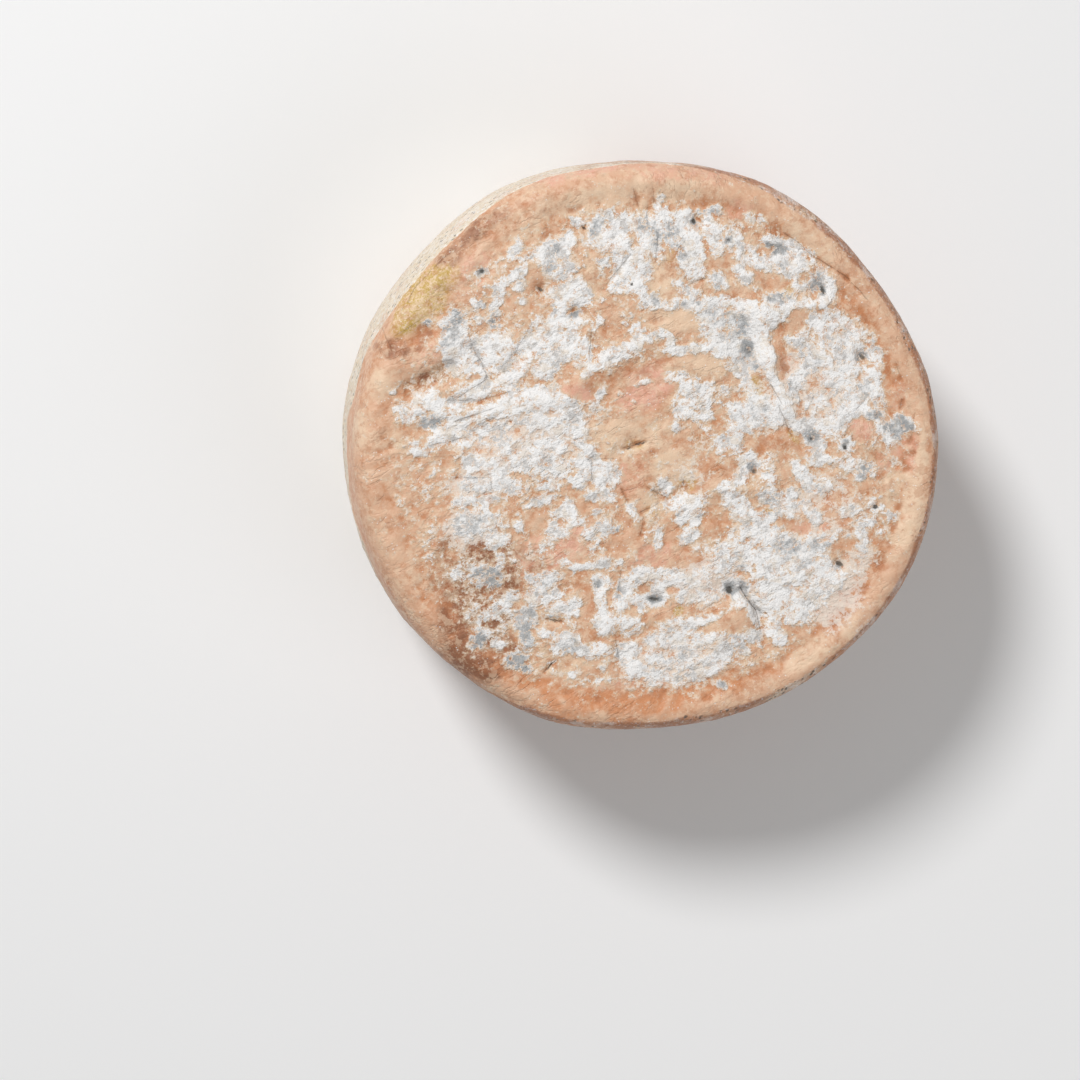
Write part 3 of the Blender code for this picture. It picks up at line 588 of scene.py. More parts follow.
class Sheet:
    """A node tree that is written in Python expressions."""

    def __init__(self, tree: bpy.types.NodeTree) -> None:
        """Keeps the tree that the nodes go into."""
        self.tree = tree

    def node(
        self,
        kind: str,
        settings: dict[str, object] | None = None,
        sockets: dict[str | int, object] | None = None,
        output: str | int = 0,
    ) -> Wire:
        """Adds one node.

        Args:
            kind: The node's type.
            settings: Its settings, which are set before its sockets.
            sockets: The values or wires of its input sockets.
            output: The output socket to read.

        Returns:
            The wire from that output.
        """
        made = self.tree.nodes.new(kind)
        for name, value in (settings or {}).items():
            setattr(made, name, value)
        for name, value in (sockets or {}).items():
            if isinstance(value, Wire):
                self.tree.links.new(value.socket, made.inputs[name])
            else:
                made.inputs[name].default_value = value
        return Wire(self, made.outputs[output])

    def maths(self, operation: str, *values: Wire | float) -> Wire:
        """A Math node, or a Vector Math node where a value is a vector.

        Args:
            operation: The node's operation.
            *values: Its inputs in order.

        Returns:
            The wire from the node.
        """
        kinds = [value.socket.type for value in values if isinstance(value, Wire)]
        if "VECTOR" not in kinds and "RGBA" not in kinds:
            return self.node("ShaderNodeMath", {"operation": operation}, dict(enumerate(values)))
        spread = [(value,) * 3 if isinstance(value, (int, float)) else value for value in values]
        return self.node("ShaderNodeVectorMath", {"operation": operation}, dict(enumerate(spread)))

    def mix(self, share: Wire | float, first: Wire | Colour, second: Wire | Colour) -> Wire:
        """Two colours mixed.

        Args:
            share: How much of the second.
            first: The first colour.
            second: The second colour.

        Returns:
            The mixed colour.
        """
        return self.node("ShaderNodeMix", {"data_type": "RGBA"}, {0: share, 6: first, 7: second}, 2)

    def drawn_out(self, place: Wire, turn: float, length: float) -> Wire:
        """A place that makes the noise read there longer in one direction.

        Args:
            place: The place.
            turn: The direction, in degrees from X.
            length: How many times longer.

        Returns:
            The place, pressed together along the direction.
        """
        line = (math.cos(math.radians(turn)), math.sin(math.radians(turn)), 0.0)
        along = self.node(
            "ShaderNodeVectorMath", {"operation": "DOT_PRODUCT"}, {0: place, 1: line}, "Value"
        )
        pressed = tuple(part * (1.0 / length - 1.0) for part in line)
        return place + self.maths("MULTIPLY", along, self.constant(pressed))

    def constant(self, value: tuple[float, float, float]) -> Wire:
        """A vector that stays the same everywhere."""
        return self.node("ShaderNodeCombineXYZ", {}, dict(enumerate(value)))

    def speckle(
        self, place: Wire, size: float, detail: float, rough: float, output: int = 0
    ) -> Wire:
        """Cloudy noise, 0 to 1 and mostly near 0.5.

        Args:
            place: Where to read it.
            size: The size of its largest features.
            detail: How many finer layers it has.
            rough: How strong the finer layers are.
            output: 0 for a value and 1 for a colour.

        Returns:
            The noise.
        """
        sockets = {"Vector": place, "Scale": 1.0 / size, "Detail": detail, "Roughness": rough}
        return self.node("ShaderNodeTexNoise", {}, sockets, output)

    def far(self, value: Wire) -> Wire:
        """How far a noise value lies from its middle."""
        return self.maths("ABSOLUTE", value - 0.5)

    def cells(self, place: Wire, size: float) -> Wire:
        """Cell noise, 0 in the middle of each cell."""
        sockets = {"Vector": place, "Scale": 1.0 / size}
        return self.node("ShaderNodeTexVoronoi", {"feature": "F1"}, sockets, "Distance")

    def drifted(self, place: Wire, size: float, detail: float, reach: float) -> Wire:
        """A place moved about by cloudy noise, so that what is read there turns ragged.

        Args:
            place: The place.
            size: The size of the noise's largest features.
            detail: How many finer layers the noise has.
            reach: How far the place moves between the noise's ends.

        Returns:
            The moved place.
        """
        return place + (self.speckle(place, size, detail, 0.6, 1) - 0.5) * reach

    def streaked(
        self, place: Wire, upright: Wire, length: float, texture: Callable[[Wire], Wire]
    ) -> Wire:
        """A texture drawn out along the face, or up it where its wrinkles stand upright.

        Args:
            place: Where to read it.
            upright: 1 where the wrinkles run up the face, and 0 where they run along it.
            length: How many times longer the texture gets.
            texture: Reads the texture at a place.

        Returns:
            The texture's value.
        """
        level, steep = (texture(self.drawn_out(place, turn, length)) for turn in STREAK_TURNS)
        return level + (steep - level) * upright


@dataclass(frozen=True)
class Crust:
    """The crust of mould: how its ragged border is drawn, and how far it stands up."""

    tatter: float = 0.0062
    bend: float = 0.0050
    fray: float = 1.25
    border: float = 0.5
    softness: float = 0.022
    thickness: float = 0.00012
    fold_size: float = 0.0052
    fold_height: float = 0.00080
    lump_height: float = 0.00045

    def level(self, sheet: Sheet, place: Wire, growth: Wire, upright: Wire) -> Wire:
        """How strongly mould grows, which is over the border's level where it is a crust.

        Args:
            sheet: The nodes' sheet.
            place: The place on the wheel.
            growth: The soft map of growth.
            upright: Where its streaks run up the face rather than along it.

        Returns:
            The growth with its ragged detail.
        """
        bent = sheet.drifted(place, self.tatter * 1.4, 3.0, self.bend)
        ragged = sheet.speckle(bent, self.tatter, 4.0, 0.66) - 0.5
        lobes = sheet.far(sheet.speckle(bent + 0.1, self.tatter * 0.7, 3.0, 0.6))
        streaks = sheet.streaked(
            bent, upright, 3.2, lambda at: sheet.speckle(at, self.tatter * 0.5, 3.0, 0.6)
        )
        lace = sheet.speckle(bent, self.tatter * 0.30, 2.0, 0.66) - 0.5
        ragged = ragged * self.fray + (streaks - 0.5) * (self.fray * 0.45) + lace * 0.52
        return growth + ragged + 0.06 - lobes * 1.1

    def relief(self, sheet: Sheet, place: Wire, upright: Wire, share: Wire) -> Wire:
        """Sharp folds between flat facets, like creased paper, over low lumps.

        Args:
            sheet: The nodes' sheet.
            place: The place on the wheel.
            upright: Where the folds run up the face rather than along it.
            share: How much of the folds shows, 0 to 1.

        Returns:
            The height, in metres.
        """
        bent = sheet.drifted(place, 0.0060, 3.0, 0.0045)
        folds = sheet.streaked(bent, upright, 2.2, lambda at: sheet.cells(at, self.fold_size))
        folds = (folds - 0.45) * share * self.fold_height
        lumps = sheet.speckle(place, 0.0045, 3.0, 0.6) - 0.5
        return folds + lumps * (share + 0.15) * self.lump_height

    def cover(self, level: Wire) -> Wire:
        """0 on bare rind and 1 on crust."""
        return level.rise(self.border - self.softness, self.border + self.softness)


@dataclass(frozen=True)
class RindFinish:
    """The finish of the whole rind: bare rind, stains, wall and mould."""

    peach: Colour = paint(224, 179, 147)
    orange: Colour = paint(206, 142, 101)
    salmon: Colour = paint(237, 181, 158)
    cream: Colour = paint(243, 216, 186)
    olive: Colour = paint(196, 164, 74)
    # brown of damp rind, also used as painted shade in the folds, creases and hollows
    damp_and_shade: Colour = paint(142, 88, 58)
    white: Colour = paint(250, 249, 248)
    tan: Colour = paint(222, 196, 160)
    film: Colour = paint(246, 238, 230)
    grey: Colour = paint(196, 193, 190)
    blue: Colour = paint(142, 147, 150)
    wall_cream: Colour = paint(232, 214, 186)
    wall_brown: Colour = paint(180, 126, 96)
    fleck: Colour = paint(98, 88, 78)
    # painted shade inside the pierced pits
    pit_shade: Colour = paint(62, 56, 46)
    # reddish flush, also painted shade along the groove
    flush_and_groove_shade: Colour = paint(214, 145, 100)
    # dark veins and spots of the rind, also the painted shadow round the crusts
    vein_and_crust_shadow: Colour = paint(186, 118, 78)
    # dark line of painted shade along the fine creases
    crease_shade_line: Colour = paint(116, 94, 76)
    crust: Crust = Crust()

    def make(self) -> bpy.types.Material:
        """Builds the material.

        Returns:
            The rind's material.
        """
        material = bpy.data.materials.new("mouldy_rind")
        material.use_nodes = True
        tree = material.node_tree
        shader = tree.nodes["Principled BSDF"]
        sheet = Sheet(tree)
        maps = {
            name: sheet.node("ShaderNodeAttribute", {"attribute_name": name}, {}, "Fac")
            for name in (*MAPS, *(stain.value for stain in Stain))
        }
        place = sheet.node("ShaderNodeAttribute", {"attribute_name": "place"}, {}, "Vector")
        rind = self.bare_rind(sheet, place, maps)
        rind = self.wall(sheet, place, maps, rind)
        level = self.crust.level(sheet, place, maps["growth"], maps["upright"])
        cover = self.crust.cover(level)
        grain = sheet.speckle(place, 0.0013, 1.5, 0.7) - 0.5
        wisps = sheet.speckle(place + grain * 0.002, 0.0034, 3.0, 0.7) - 0.5
        film = level * 0.9 + maps["veil"] * 0.5 + grain * 0.7 + wisps * 1.3
        film = film.rise(0.36, 0.46) * 0.30 + film.rise(0.05, 0.80) * 0.32
        border = self.crust.border
        thick = (level + grain * 0.6 + wisps * 1.3).rise(border + 0.02, border + 0.13)
        brink = sheet.far(level).rise(0.06, 0.02)
        mould = self.mould(sheet, place, maps, level)
        holes = sheet.speckle(place + grain * 0.001, 0.0030, 3.0, 0.66).rise(0.50, 0.59)
        holes = holes * (1.0 - thick * 0.86) * 0.72
        opaque = (cover * (0.44 + thick * 0.50) * (1.0 - holes)).at_least(cover * brink * 0.84)
        # Painted shadow: the rind just outside each crust turns darker and browner, partly staining
        # of the rind and partly the crust's shadow.
        foot = level.rise(border - 0.14, border - 0.03) * (1.0 - cover)
        rind = sheet.mix(foot * (wisps + 0.5) * 0.30, rind, self.vein_and_crust_shadow)
        tan = (level + wisps * 1.2).rise(0.12, 0.48)
        rind = sheet.mix(tan * 0.58, rind, self.tan)
        rind = sheet.mix(tan * (wisps * -1.0).rise(0.02, 0.14) * 0.42, rind, self.vein_and_crust_shadow)
        rind = sheet.mix(film, rind, self.film)
        colour = sheet.mix(opaque, rind, mould)
        opaque = opaque.at_least(film)
        # Painted shade: the pits are painted nearly black.
        pit_shade = (maps["pit"] + grain * 0.5).rise(0.42, 0.95)
        colour = sheet.mix(pit_shade * 0.85, colour, self.pit_shade)
        # Painted shade: a thin dark line along each fine crease.
        crease_shade_line = sheet.maths("ABSOLUTE", maps["crease_side"] + grain * 0.8).rise(0.38, 0.06)
        crease_shade_line = crease_shade_line * maps["crease"] * (wisps + 0.5).rise(0.34, 0.52)
        colour = sheet.mix(crease_shade_line * 0.68, colour, self.crease_shade_line)
        tree.links.new(colour.socket, shader.inputs["Base Color"])
        roughness = 0.50 + opaque * 0.42
        tree.links.new(roughness.socket, shader.inputs["Roughness"])
        relief = self.fine_relief(sheet, place, maps, maps["level"])
        cut = sheet.maths("ABSOLUTE", maps["crease_side"]).rise(0.38, 0.06) * maps["crease"]
        height = relief + self.crust.cover(maps["level"]) * 0.05 - cut * 0.3
        bump = sheet.node(
            "ShaderNodeBump", {}, {"Strength": 1.0, "Distance": 0.001, "Height": height}, "Normal"
        )
        tree.links.new(bump.socket, shader.inputs["Normal"])
        shader.inputs["Specular IOR Level"].default_value = 0.4
        return material

    def fine_relief(self, sheet: Sheet, place: Wire, maps: dict[str, Wire], level: Wire) -> Wire:
        """The relief that is too fine for the mesh: sharp creases, crumples and grain.

        Args:
            sheet: The nodes' sheet.
            place: The place on the wheel.
            maps: The soft maps kept on the mesh.
            level: How strongly mould grows, as kept on the mesh, which is quicker to read.

        Returns:
            The height, in millimetres.
        """
        fuzz = sheet.speckle(place, 0.0017, 2.0, 0.68)
        crumple = sheet.far(sheet.speckle(place, 0.0044, 3.0, 0.6))
        folds = sheet.streaked(
            place, maps["upright"], 2.6, lambda at: sheet.far(sheet.speckle(at, 0.0050, 3.0, 0.55))
        )
        here = sheet.speckle(place, 0.020, 1.5, 0.6).rise(0.42, 0.62)
        bent = sheet.drifted(place, 0.0030, 1.0, 0.002)
        facets = sheet.cells(bent, 0.0019) * (0.12 + level.rise(0.3, 0.6) * 0.88)
        rough = level.rise(0.15, 0.55) * 0.6 + 0.4
        relief = (fuzz * 0.72 + crumple.at_most(0.12) * 1.15) * rough
        smooth_rim = maps["growth"].rise(0.15, 0.0)
        relief = relief + folds.at_most(0.06) * (here * 3.4 + smooth_rim * 0.9) + facets * 0.28
        dents = sheet.speckle(place, 0.0065, 2.0, 0.6)
        return relief + maps["wall"] * (fuzz * 0.6 + dents * 1.8)

    def bare_rind(self, sheet: Sheet, place: Wire, maps: dict[str, Wire]) -> Wire:
        """The rind between the crusts, peach with orange, salmon, cream and olive stains, and
        painted shade in its hollows and creases.

        Args:
            sheet: The nodes' sheet.
            place: The place on the wheel.
            maps: The soft maps kept on the mesh.

        Returns:
            The rind's colour.
        """
        broad = sheet.speckle(place, 0.026, 4.0, 0.6) - 0.5
        fine = sheet.speckle(place, 0.0060, 3.0, 0.7) - 0.5
        other = sheet.speckle(place + 0.3, 0.011, 3.0, 0.65) - 0.5
        # Painted shade: the cavity map turns the rind darker orange in its hollows.
        dark = broad * 0.9 + fine * 0.8 + maps["cavity"] * 0.22 + 0.5
        colour = sheet.mix(dark.rise(0.30, 0.85), self.peach, self.orange)
        stir = fine * 1.2 + other * 1.4
        granules = sheet.speckle(place, 0.0014, 1.5, 0.7) - 0.5
        tints = {
            Stain.SALMON: self.salmon,
            Stain.CREAM: self.cream,
            Stain.OLIVE: sheet.mix((granules * 3.4 + 0.26).at_least(0.0), self.olive, self.cream),
            Stain.DAMP_AND_SHADE: self.damp_and_shade,
        }
        for stain, tint in tints.items():
            everywhere, strength = (0.30, 0.66) if stain is Stain.CREAM else (0.0, 0.9)
            share = (maps[stain.value] + stir + everywhere).rise(0.15, 1.05)
            colour = sheet.mix(share * strength, colour, tint)
            stir = stir * -1.0
        # Reddish flush; the cavity map adds to it in the hollows as painted shade.
        red = (maps["flush_and_groove_shade"] + stir * 0.9 + maps["cavity"] * 0.3).rise(0.12, 0.95)
        colour = sheet.mix(red * 0.9, colour, self.flush_and_groove_shade)
        specks = sheet.cells(place + fine * 0.002, 0.0021).rise(0.20, 0.12)
        rare = sheet.speckle(place, 0.007, 2.0, 0.6).rise(0.5, 0.6)
        colour = sheet.mix(specks * rare * 0.7, colour, self.white)
        light = (granules * 2.0 + fine).rise(0.05, 0.75)
        colour = sheet.mix(light * (0.42 - red * 0.25), colour, self.cream)
        shade = sheet.speckle(place + 0.2, 0.0090, 4.0, 0.68) + fine * 0.35
        colour = sheet.mix(shade.rise(0.50, 0.72) * 0.42, colour, self.vein_and_crust_shadow)
        pale_spots = sheet.speckle(place + 0.7, 0.0042, 4.0, 0.68) + broad * 0.4
        colour = sheet.mix(pale_spots.rise(0.53, 0.58) * (0.36 - red * 0.20), colour, self.cream)
        dark_spots = sheet.speckle(place + 0.9, 0.0050, 4.0, 0.70) + broad * 0.5
        colour = sheet.mix(dark_spots.rise(0.56, 0.63) * 0.34, colour, self.vein_and_crust_shadow)
        # Painted shade: the rind's hollows and creases darken to brown.
        crease = (maps["cavity"] + fine * 1.2).rise(0.5, 1.9)
        return sheet.mix(crease * 0.42, colour, self.damp_and_shade)

    def wall(self, sheet: Sheet, place: Wire, maps: dict[str, Wire], rind: Wire) -> Wire:
        """The wall's drier rind, cream to brown, with short dark flecks.

        Args:
            sheet: The nodes' sheet.
            place: The place on the wheel.
            maps: The soft maps kept on the mesh.
            rind: The colour of the rind before the wall's is laid over it.

        Returns:
            The colour of the rind and the wall.
        """
        blotch = sheet.speckle(place, 0.012, 4.0, 0.65)
        pale = (maps["pale"] + (blotch - 0.5) * 1.1).rise(0.25, 0.75)
        brown = sheet.mix(blotch.rise(0.35, 0.7), self.wall_brown, self.orange)
        dry = sheet.mix(pale, brown, self.wall_cream)
        smears = sheet.speckle(place + 0.6, 0.024, 4.0, 0.64).rise(0.48, 0.64)
        dry = sheet.mix(smears * 0.50, dry, self.peach)
        bloom = sheet.speckle(place + 0.8, 0.015, 4.0, 0.68).rise(0.50, 0.66)
        dry = sheet.mix(bloom * 0.50, dry, self.film)
        crumbs = sheet.speckle(place, 0.0019, 2.0, 0.7) - 0.5
        dry = sheet.mix((crumbs * 3.0 + pale * 0.3 + 0.1).rise(0.2, 1.0) * 0.74, dry, self.white)
        dry = sheet.mix((crumbs * -3.0 - 0.18).rise(0.0, 0.8) * 0.55, dry, self.wall_brown)
        flecks = sheet.cells(place + crumbs * 0.003, 0.0036).rise(0.34, 0.20)
        rare = sheet.speckle(place, 0.012, 2.0, 0.6).rise(0.43, 0.56)
        dry = sheet.mix(flecks * rare * 0.88, dry, self.fleck)
        share = (maps["wall"] + (blotch - 0.5) * 1.2 + crumbs * 0.4).rise(0.36, 0.66)
        return sheet.mix(share, rind, dry)

    def mould(self, sheet: Sheet, place: Wire, maps: dict[str, Wire], level: Wire) -> Wire:
        """The mould, white where thick and grey where it is thin, with painted shade: greyer and
        bluer in its hollows, whiter on its ridges.

        Args:
            sheet: The nodes' sheet.
            place: The place on the wheel.
            maps: The soft maps kept on the mesh.
            level: How strongly it grows.

        Returns:
            The mould's colour.
        """
        cloud = sheet.speckle(place, 0.0075, 3.0, 0.66) - 0.5
        warm = sheet.speckle(place + 0.4, 0.0060, 4.0, 0.66).rise(0.53, 0.62)
        lace = sheet.far(sheet.speckle(place, 0.0032, 3.0, 0.7)).rise(0.04, 0.0)
        rim = sheet.far(level).rise(0.08, 0.02)
        # Painted shade: the cavity map greys the mould in its hollows and whitens it on its ridges.
        flakes = cloud * 2.2 + (level - self.crust.border) * 0.8 - maps["cavity"] * 0.25
        flakes = flakes.rise(-0.16, 0.24) * 0.55 + flakes.rise(-0.06, 0.04) * 0.25
        share = 0.85 - flakes - lace * 0.35 - rim * 0.8
        colour = sheet.mix(share.at_least(0.0), self.white, self.grey)
        colour = sheet.mix(warm * 0.35, colour, self.tan)
        tufts = sheet.speckle(place, 0.0024, 2.0, 0.7) - 0.5
        # Painted shade: hollows and the damp, shaded places turn the mould blue-grey.
        blue = maps["grey"] + maps[Stain.DAMP_AND_SHADE.value] * 0.30 + cloud * 1.5 + tufts * 1.7
        blue = (blue + maps["cavity"] * 0.15).rise(0.26, 1.15)
        return sheet.mix(blue * (0.82 - rim * 0.58), colour, self.blue)


@dataclass(frozen=True)
class Ring:
    """One ring of the fine mesh: where its line runs, and which way the rind faces there."""

    inset: float
    height: float
    out: float
    up: float
    step: float


@dataclass
class Wheel:
    """The wheel's fine form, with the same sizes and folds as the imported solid."""

    face_length: float = 0.2944
    face_width: float = 0.2848
    rim_level: float = 0.1385
    wall_bulge: float = 0.0022
    top_edge_reach: float = 0.010
    top_edge_drop: float = 0.016
    foot_edge_reach: float = 0.014
    foot_edge_rise: float = 0.016
    groove_inset: float = 0.020
    groove_depth: float = 0.0030
    groove_runout: float = 0.026
    face_rise: float = 0.45
    roll_turn: float = 20.0
    roll_least: float = 0.15
    face_waves: tuple[tuple[float, float], ...] = (
        (0.046, 0.0011), (0.019, 0.0007), (0.011, 0.0004),
    )
    wall_waves: tuple[tuple[float, float, float], ...] = (
        (0.060, 0.0010, 0.0), (0.024, 0.0006, 0.0), (0.0075, 0.00022, 2.0), (0.0042, 0.00014, 4.0),
    )
    wall_starts: tuple[tuple[float, float], ...] = (
        (0, -0.0005), (60, -0.0005), (78, 0.0040), (90, 0.0090), (110, 0.0090),
        (122, 0.0068), (134, 0.0052), (146, 0.0066), (150, 0.0076), (160, 0.0200),
        (172, 0.0340), (208, 0.0340), (232, 0.0100), (245, -0.0005), (360, -0.0005),
    )
    face_step: float = 0.00104
    edge_step: float = 0.0014
    wall_step: float = 0.0023
    underside_step: float = 0.0040
    top_edge_rows: int = 14
    foot_edge_rows: int = 10
    fewest_sides: int = 6
    cavity_rounds: int = 8
    cavity_depth: float = 0.00025
    pit_depth: float = 0.0010
    ridge_height: float = 0.00050
    knot_height: float = 0.00045
    lump_height: float = 0.00050
    underside_lift: float = 0.0006
    finish: RindFinish = RindFinish()

    @property
    def mean_radius(self) -> float:
        """The face's mean radius."""
        return (self.face_length + self.face_width) / 4

    def outline(self, turn: Array) -> Array:
        """From the middle of the wheel to its wall.

        Args:
            turn: The angles, in radians.

        Returns:
            The radius at each.
        """
        radius = 1.0 / np.hypot(
            np.cos(turn) / (self.face_length / 2), np.sin(turn) / (self.face_width / 2)
        )
        for corner in CORNERS:
            away = (np.degrees(turn) - corner.turn + 180.0) % 360.0 - 180.0
            radius = radius + corner.height * swell(away, corner.half_width)
        return radius

    def inset(self, x: Array, y: Array) -> Array:
        """How far points lie in from the wall."""
        return self.mean_radius * (1.0 - np.hypot(x, y) / self.outline(np.arctan2(y, x)))

    def groove(self, x: Array, y: Array) -> Array:
        """The level of the rim's inner side, the groove and the face, below the rim's top."""
        inset = self.inset(x, y)
        turn = np.arctan2(y, x) - math.radians(self.roll_turn)
        strength = self.roll_least + (1.0 - self.roll_least) * (0.5 + 0.5 * np.cos(turn))
        down = ease((inset - self.top_edge_reach) / (self.groove_inset - self.top_edge_reach))
        back = self.face_rise * ease((inset - self.groove_inset) / self.groove_runout)
        return self.groove_depth * strength * (back - down)

    def face_relief(self, x: Array, y: Array) -> Array:
        """The upper face's height, against the top of the rim.

        Args:
            x: Places along X.
            y: Places along Y.

        Returns:
            The height at each place.
        """
        flat = np.stack([x, y, np.zeros_like(x)], axis=1)
        level = self.groove(x, y)
        for size, height in self.face_waves:
            level = level + height * waves(flat, size)
        for fold in FOLDS + CREASES:
            level = level + fold.height * fold.near(x, y)
        for hollow in HOLLOWS:
            level = level - hollow.depth * hollow.near(x, y)
        level = level - self.pit_depth * strongest(PITS, x, y)
        return level + self.wrinkles(flat)

    @staticmethod
    def upright(x: Array, y: Array) -> Array:
        """Where the wrinkles run up the face: at the top and along the right."""
        top = ease((y - 0.070) / 0.030) * ease((x + 0.045) / 0.030)
        right = ease((x - 0.030) / 0.030) * ease((y + 0.020) / 0.040)
        return np.maximum(top, right)

    def wrinkles(self, flat: Array) -> Array:
        """The fine wrinkles of the rind, sharpest at the left.

        Args:
            flat: Places on the face, one row each.

        Returns:
            Their height at each place.
        """
        bend = 0.004 * waves(flat, 0.017, 5.0)
        heights = []
        for degrees in (28.0, 107.0):
            turn = math.radians(degrees)
            along = flat[:, 0] * math.cos(turn) + flat[:, 1] * math.sin(turn)
            across = flat[:, 1] * math.cos(turn) - flat[:, 0] * math.sin(turn)
            drawn = np.stack([along / 3.0, across + bend, np.zeros_like(along)], axis=1)
            heights.append(0.5 - np.abs(waves(drawn, 0.0075, 9.0)) * 1.6)
        steep = self.upright(flat[:, 0], flat[:, 1])
        ridges = heights[0] * (1.0 - steep) + heights[1] * steep
        knots = 0.5 - np.abs(waves(flat, 0.0105, 3.0)) * 2.0
        lumps = waves(flat, 0.0058, 3.0) * 0.5 + waves(flat, 0.0034, 7.0) * 0.4
        left = ease(0.6 - flat[:, 0] / 0.16)
        ridges = self.ridge_height * ridges * (0.5 + 0.5 * left)
        return ridges + self.knot_height * knots + self.lump_height * lumps

    def rings(self) -> list[Ring]:
        """The wheel's rings, from the middle of the upper face to the middle of the underside.

        Returns:
            The rings in order.
        """
        rings = [
            Ring(inset, self.rim_level, 0.0, 1.0, self.face_step)
            for inset in spaced(self.mean_radius, self.top_edge_reach, self.face_step)
        ]
        for row in range(self.top_edge_rows + 1):
            angle = math.pi / 2 * row / self.top_edge_rows
            out, up = math.sin(angle), math.cos(angle)
            inset = self.top_edge_reach * (1.0 - out)
            height = self.rim_level - self.top_edge_drop * (1.0 - up)
            rings.append(Ring(inset, height, out, up, self.edge_step))
        top, foot = self.rim_level - self.top_edge_drop, self.foot_edge_rise
        for height in spaced(top, foot, self.wall_step):
            from_middle = (2.0 * height - top - foot) / (top - foot)
            bulge = -self.wall_bulge * (1.0 - from_middle**2)
            rings.append(Ring(bulge, height, 1.0, 0.0, self.wall_step))
        for row in range(self.foot_edge_rows + 1):
            angle = math.pi / 2 * row / self.foot_edge_rows
            out, up = math.cos(angle), -math.sin(angle)
            inset = self.foot_edge_reach * (1.0 - out)
            height = self.foot_edge_rise * (1.0 + up)
            rings.append(Ring(inset, height, out, up, self.wall_step))
        rings += [
            Ring(inset, 0.0, 0.0, -1.0, self.underside_step)
            for inset in spaced(self.foot_edge_reach, self.mean_radius, self.underside_step)
        ]
        return rings

    def build(self) -> bpy.types.Object:
        """Builds the wheel's mesh with its maps and its crusts.

        Returns:
            The wheel.
        """
        points, ups, outs, insets, faces = self.surface()
        maps = self.maps(points, ups, insets)
        rest = points.copy()
        points = self.moved(points, ups, outs)
        maps["cavity"] = self.cavity(points, faces, ups)
        low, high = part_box(NODE)
        shift = (np.array(low) + np.array(high)) / 2 - (points.max(0) + points.min(0)) / 2
        points[:, :2] += shift[:2]
        mesh = bpy.data.meshes.new("cheese_wheel_rind")
        mesh.from_pydata(points.tolist(), [], faces)
        mesh.shade_smooth()
        for name, values in maps.items():
            mesh.attributes.new(name, "FLOAT", "POINT").data.foreach_set("value", values)
        stored = mesh.attributes.new("place", "FLOAT_VECTOR", "POINT")
        stored.data.foreach_set("vector", rest.ravel())
        mesh.materials.append(self.finish.make())
        wheel = bpy.data.objects.new("cheese_wheel_rind", mesh)
        bpy.context.scene.collection.objects.link(wheel)
        self.raise_crusts(wheel)
        return wheel

    def surface(self) -> tuple[Array, Array, Array, Array, list[tuple[int, int, int]]]:
        """The plain rings and the triangles between them.

        Returns:
            The points, how far each faces up and out, how far each lies in, and the triangles.
        """
        points, ups, outs, insets, faces = [], [], [], [], []
        rows = []
        for ring in self.rings():
            length = 2.0 * math.pi * (self.mean_radius - ring.inset)
            count = max(round(length / ring.step), self.fewest_sides)
            turn = 2.0 * math.pi * np.arange(count) / count
            radius = self.outline(turn) * (1.0 - ring.inset / self.mean_radius)
            heights = np.full(count, ring.height)
            rows.append((sum(map(len, points)), count))
            points.append(np.stack([radius * np.cos(turn), radius * np.sin(turn), heights], axis=1))
            ups.append(np.full(count, ring.up))
            outs.append(np.full(count, ring.out))
            insets.append(np.full(count, ring.inset))
        for inner, outer in zip(rows, rows[1:]):
            faces += stitched(inner, outer)
        total = sum(count for _, count in rows)
        for (first, count), middle in ((rows[0], total), (rows[-1], total + 1)):
            for index in range(count):
                here, after = first + index, first + (index + 1) % count
                faces.append((middle, here, after) if middle == total else (middle, after, here))
        points.append(np.array([[0.0, 0.0, self.rim_level], [0.0, 0.0, 0.0]]))
        ups.append(np.array([1.0, -1.0]))
        outs.append(np.zeros(2))
        insets.append(np.full(2, self.mean_radius))
        return *map(np.concatenate, (points, ups, outs, insets)), faces

    def moved(self, points: Array, ups: Array, outs: Array) -> Array:
        """The points with the rind's relief.

        Args:
            points: The plain points.
            ups: How far each faces up.
            outs: How far each faces out.

        Returns:
            The moved points.
        """
        points = points.copy()
        upper = ups > 0.0
        relief = self.face_relief(points[upper, 0], points[upper, 1])
        side = outs > 0.0
        push = sum(
            height * waves(points[side], size, shift) for size, height, shift in self.wall_waves
        )
        turn = np.arctan2(points[side, 1], points[side, 0])
        points[upper, 2] += relief * ups[upper] ** 2
        points[side, 0] += push * outs[side] ** 2 * np.cos(turn)
        points[side, 1] += push * outs[side] ** 2 * np.sin(turn)
        under = ups < 0.0
        lift = self.underside_lift * np.maximum(waves(points[under], 0.017, 6.0) + 0.15, 0.0)
        points[under, 2] -= lift * ups[under]
        return points

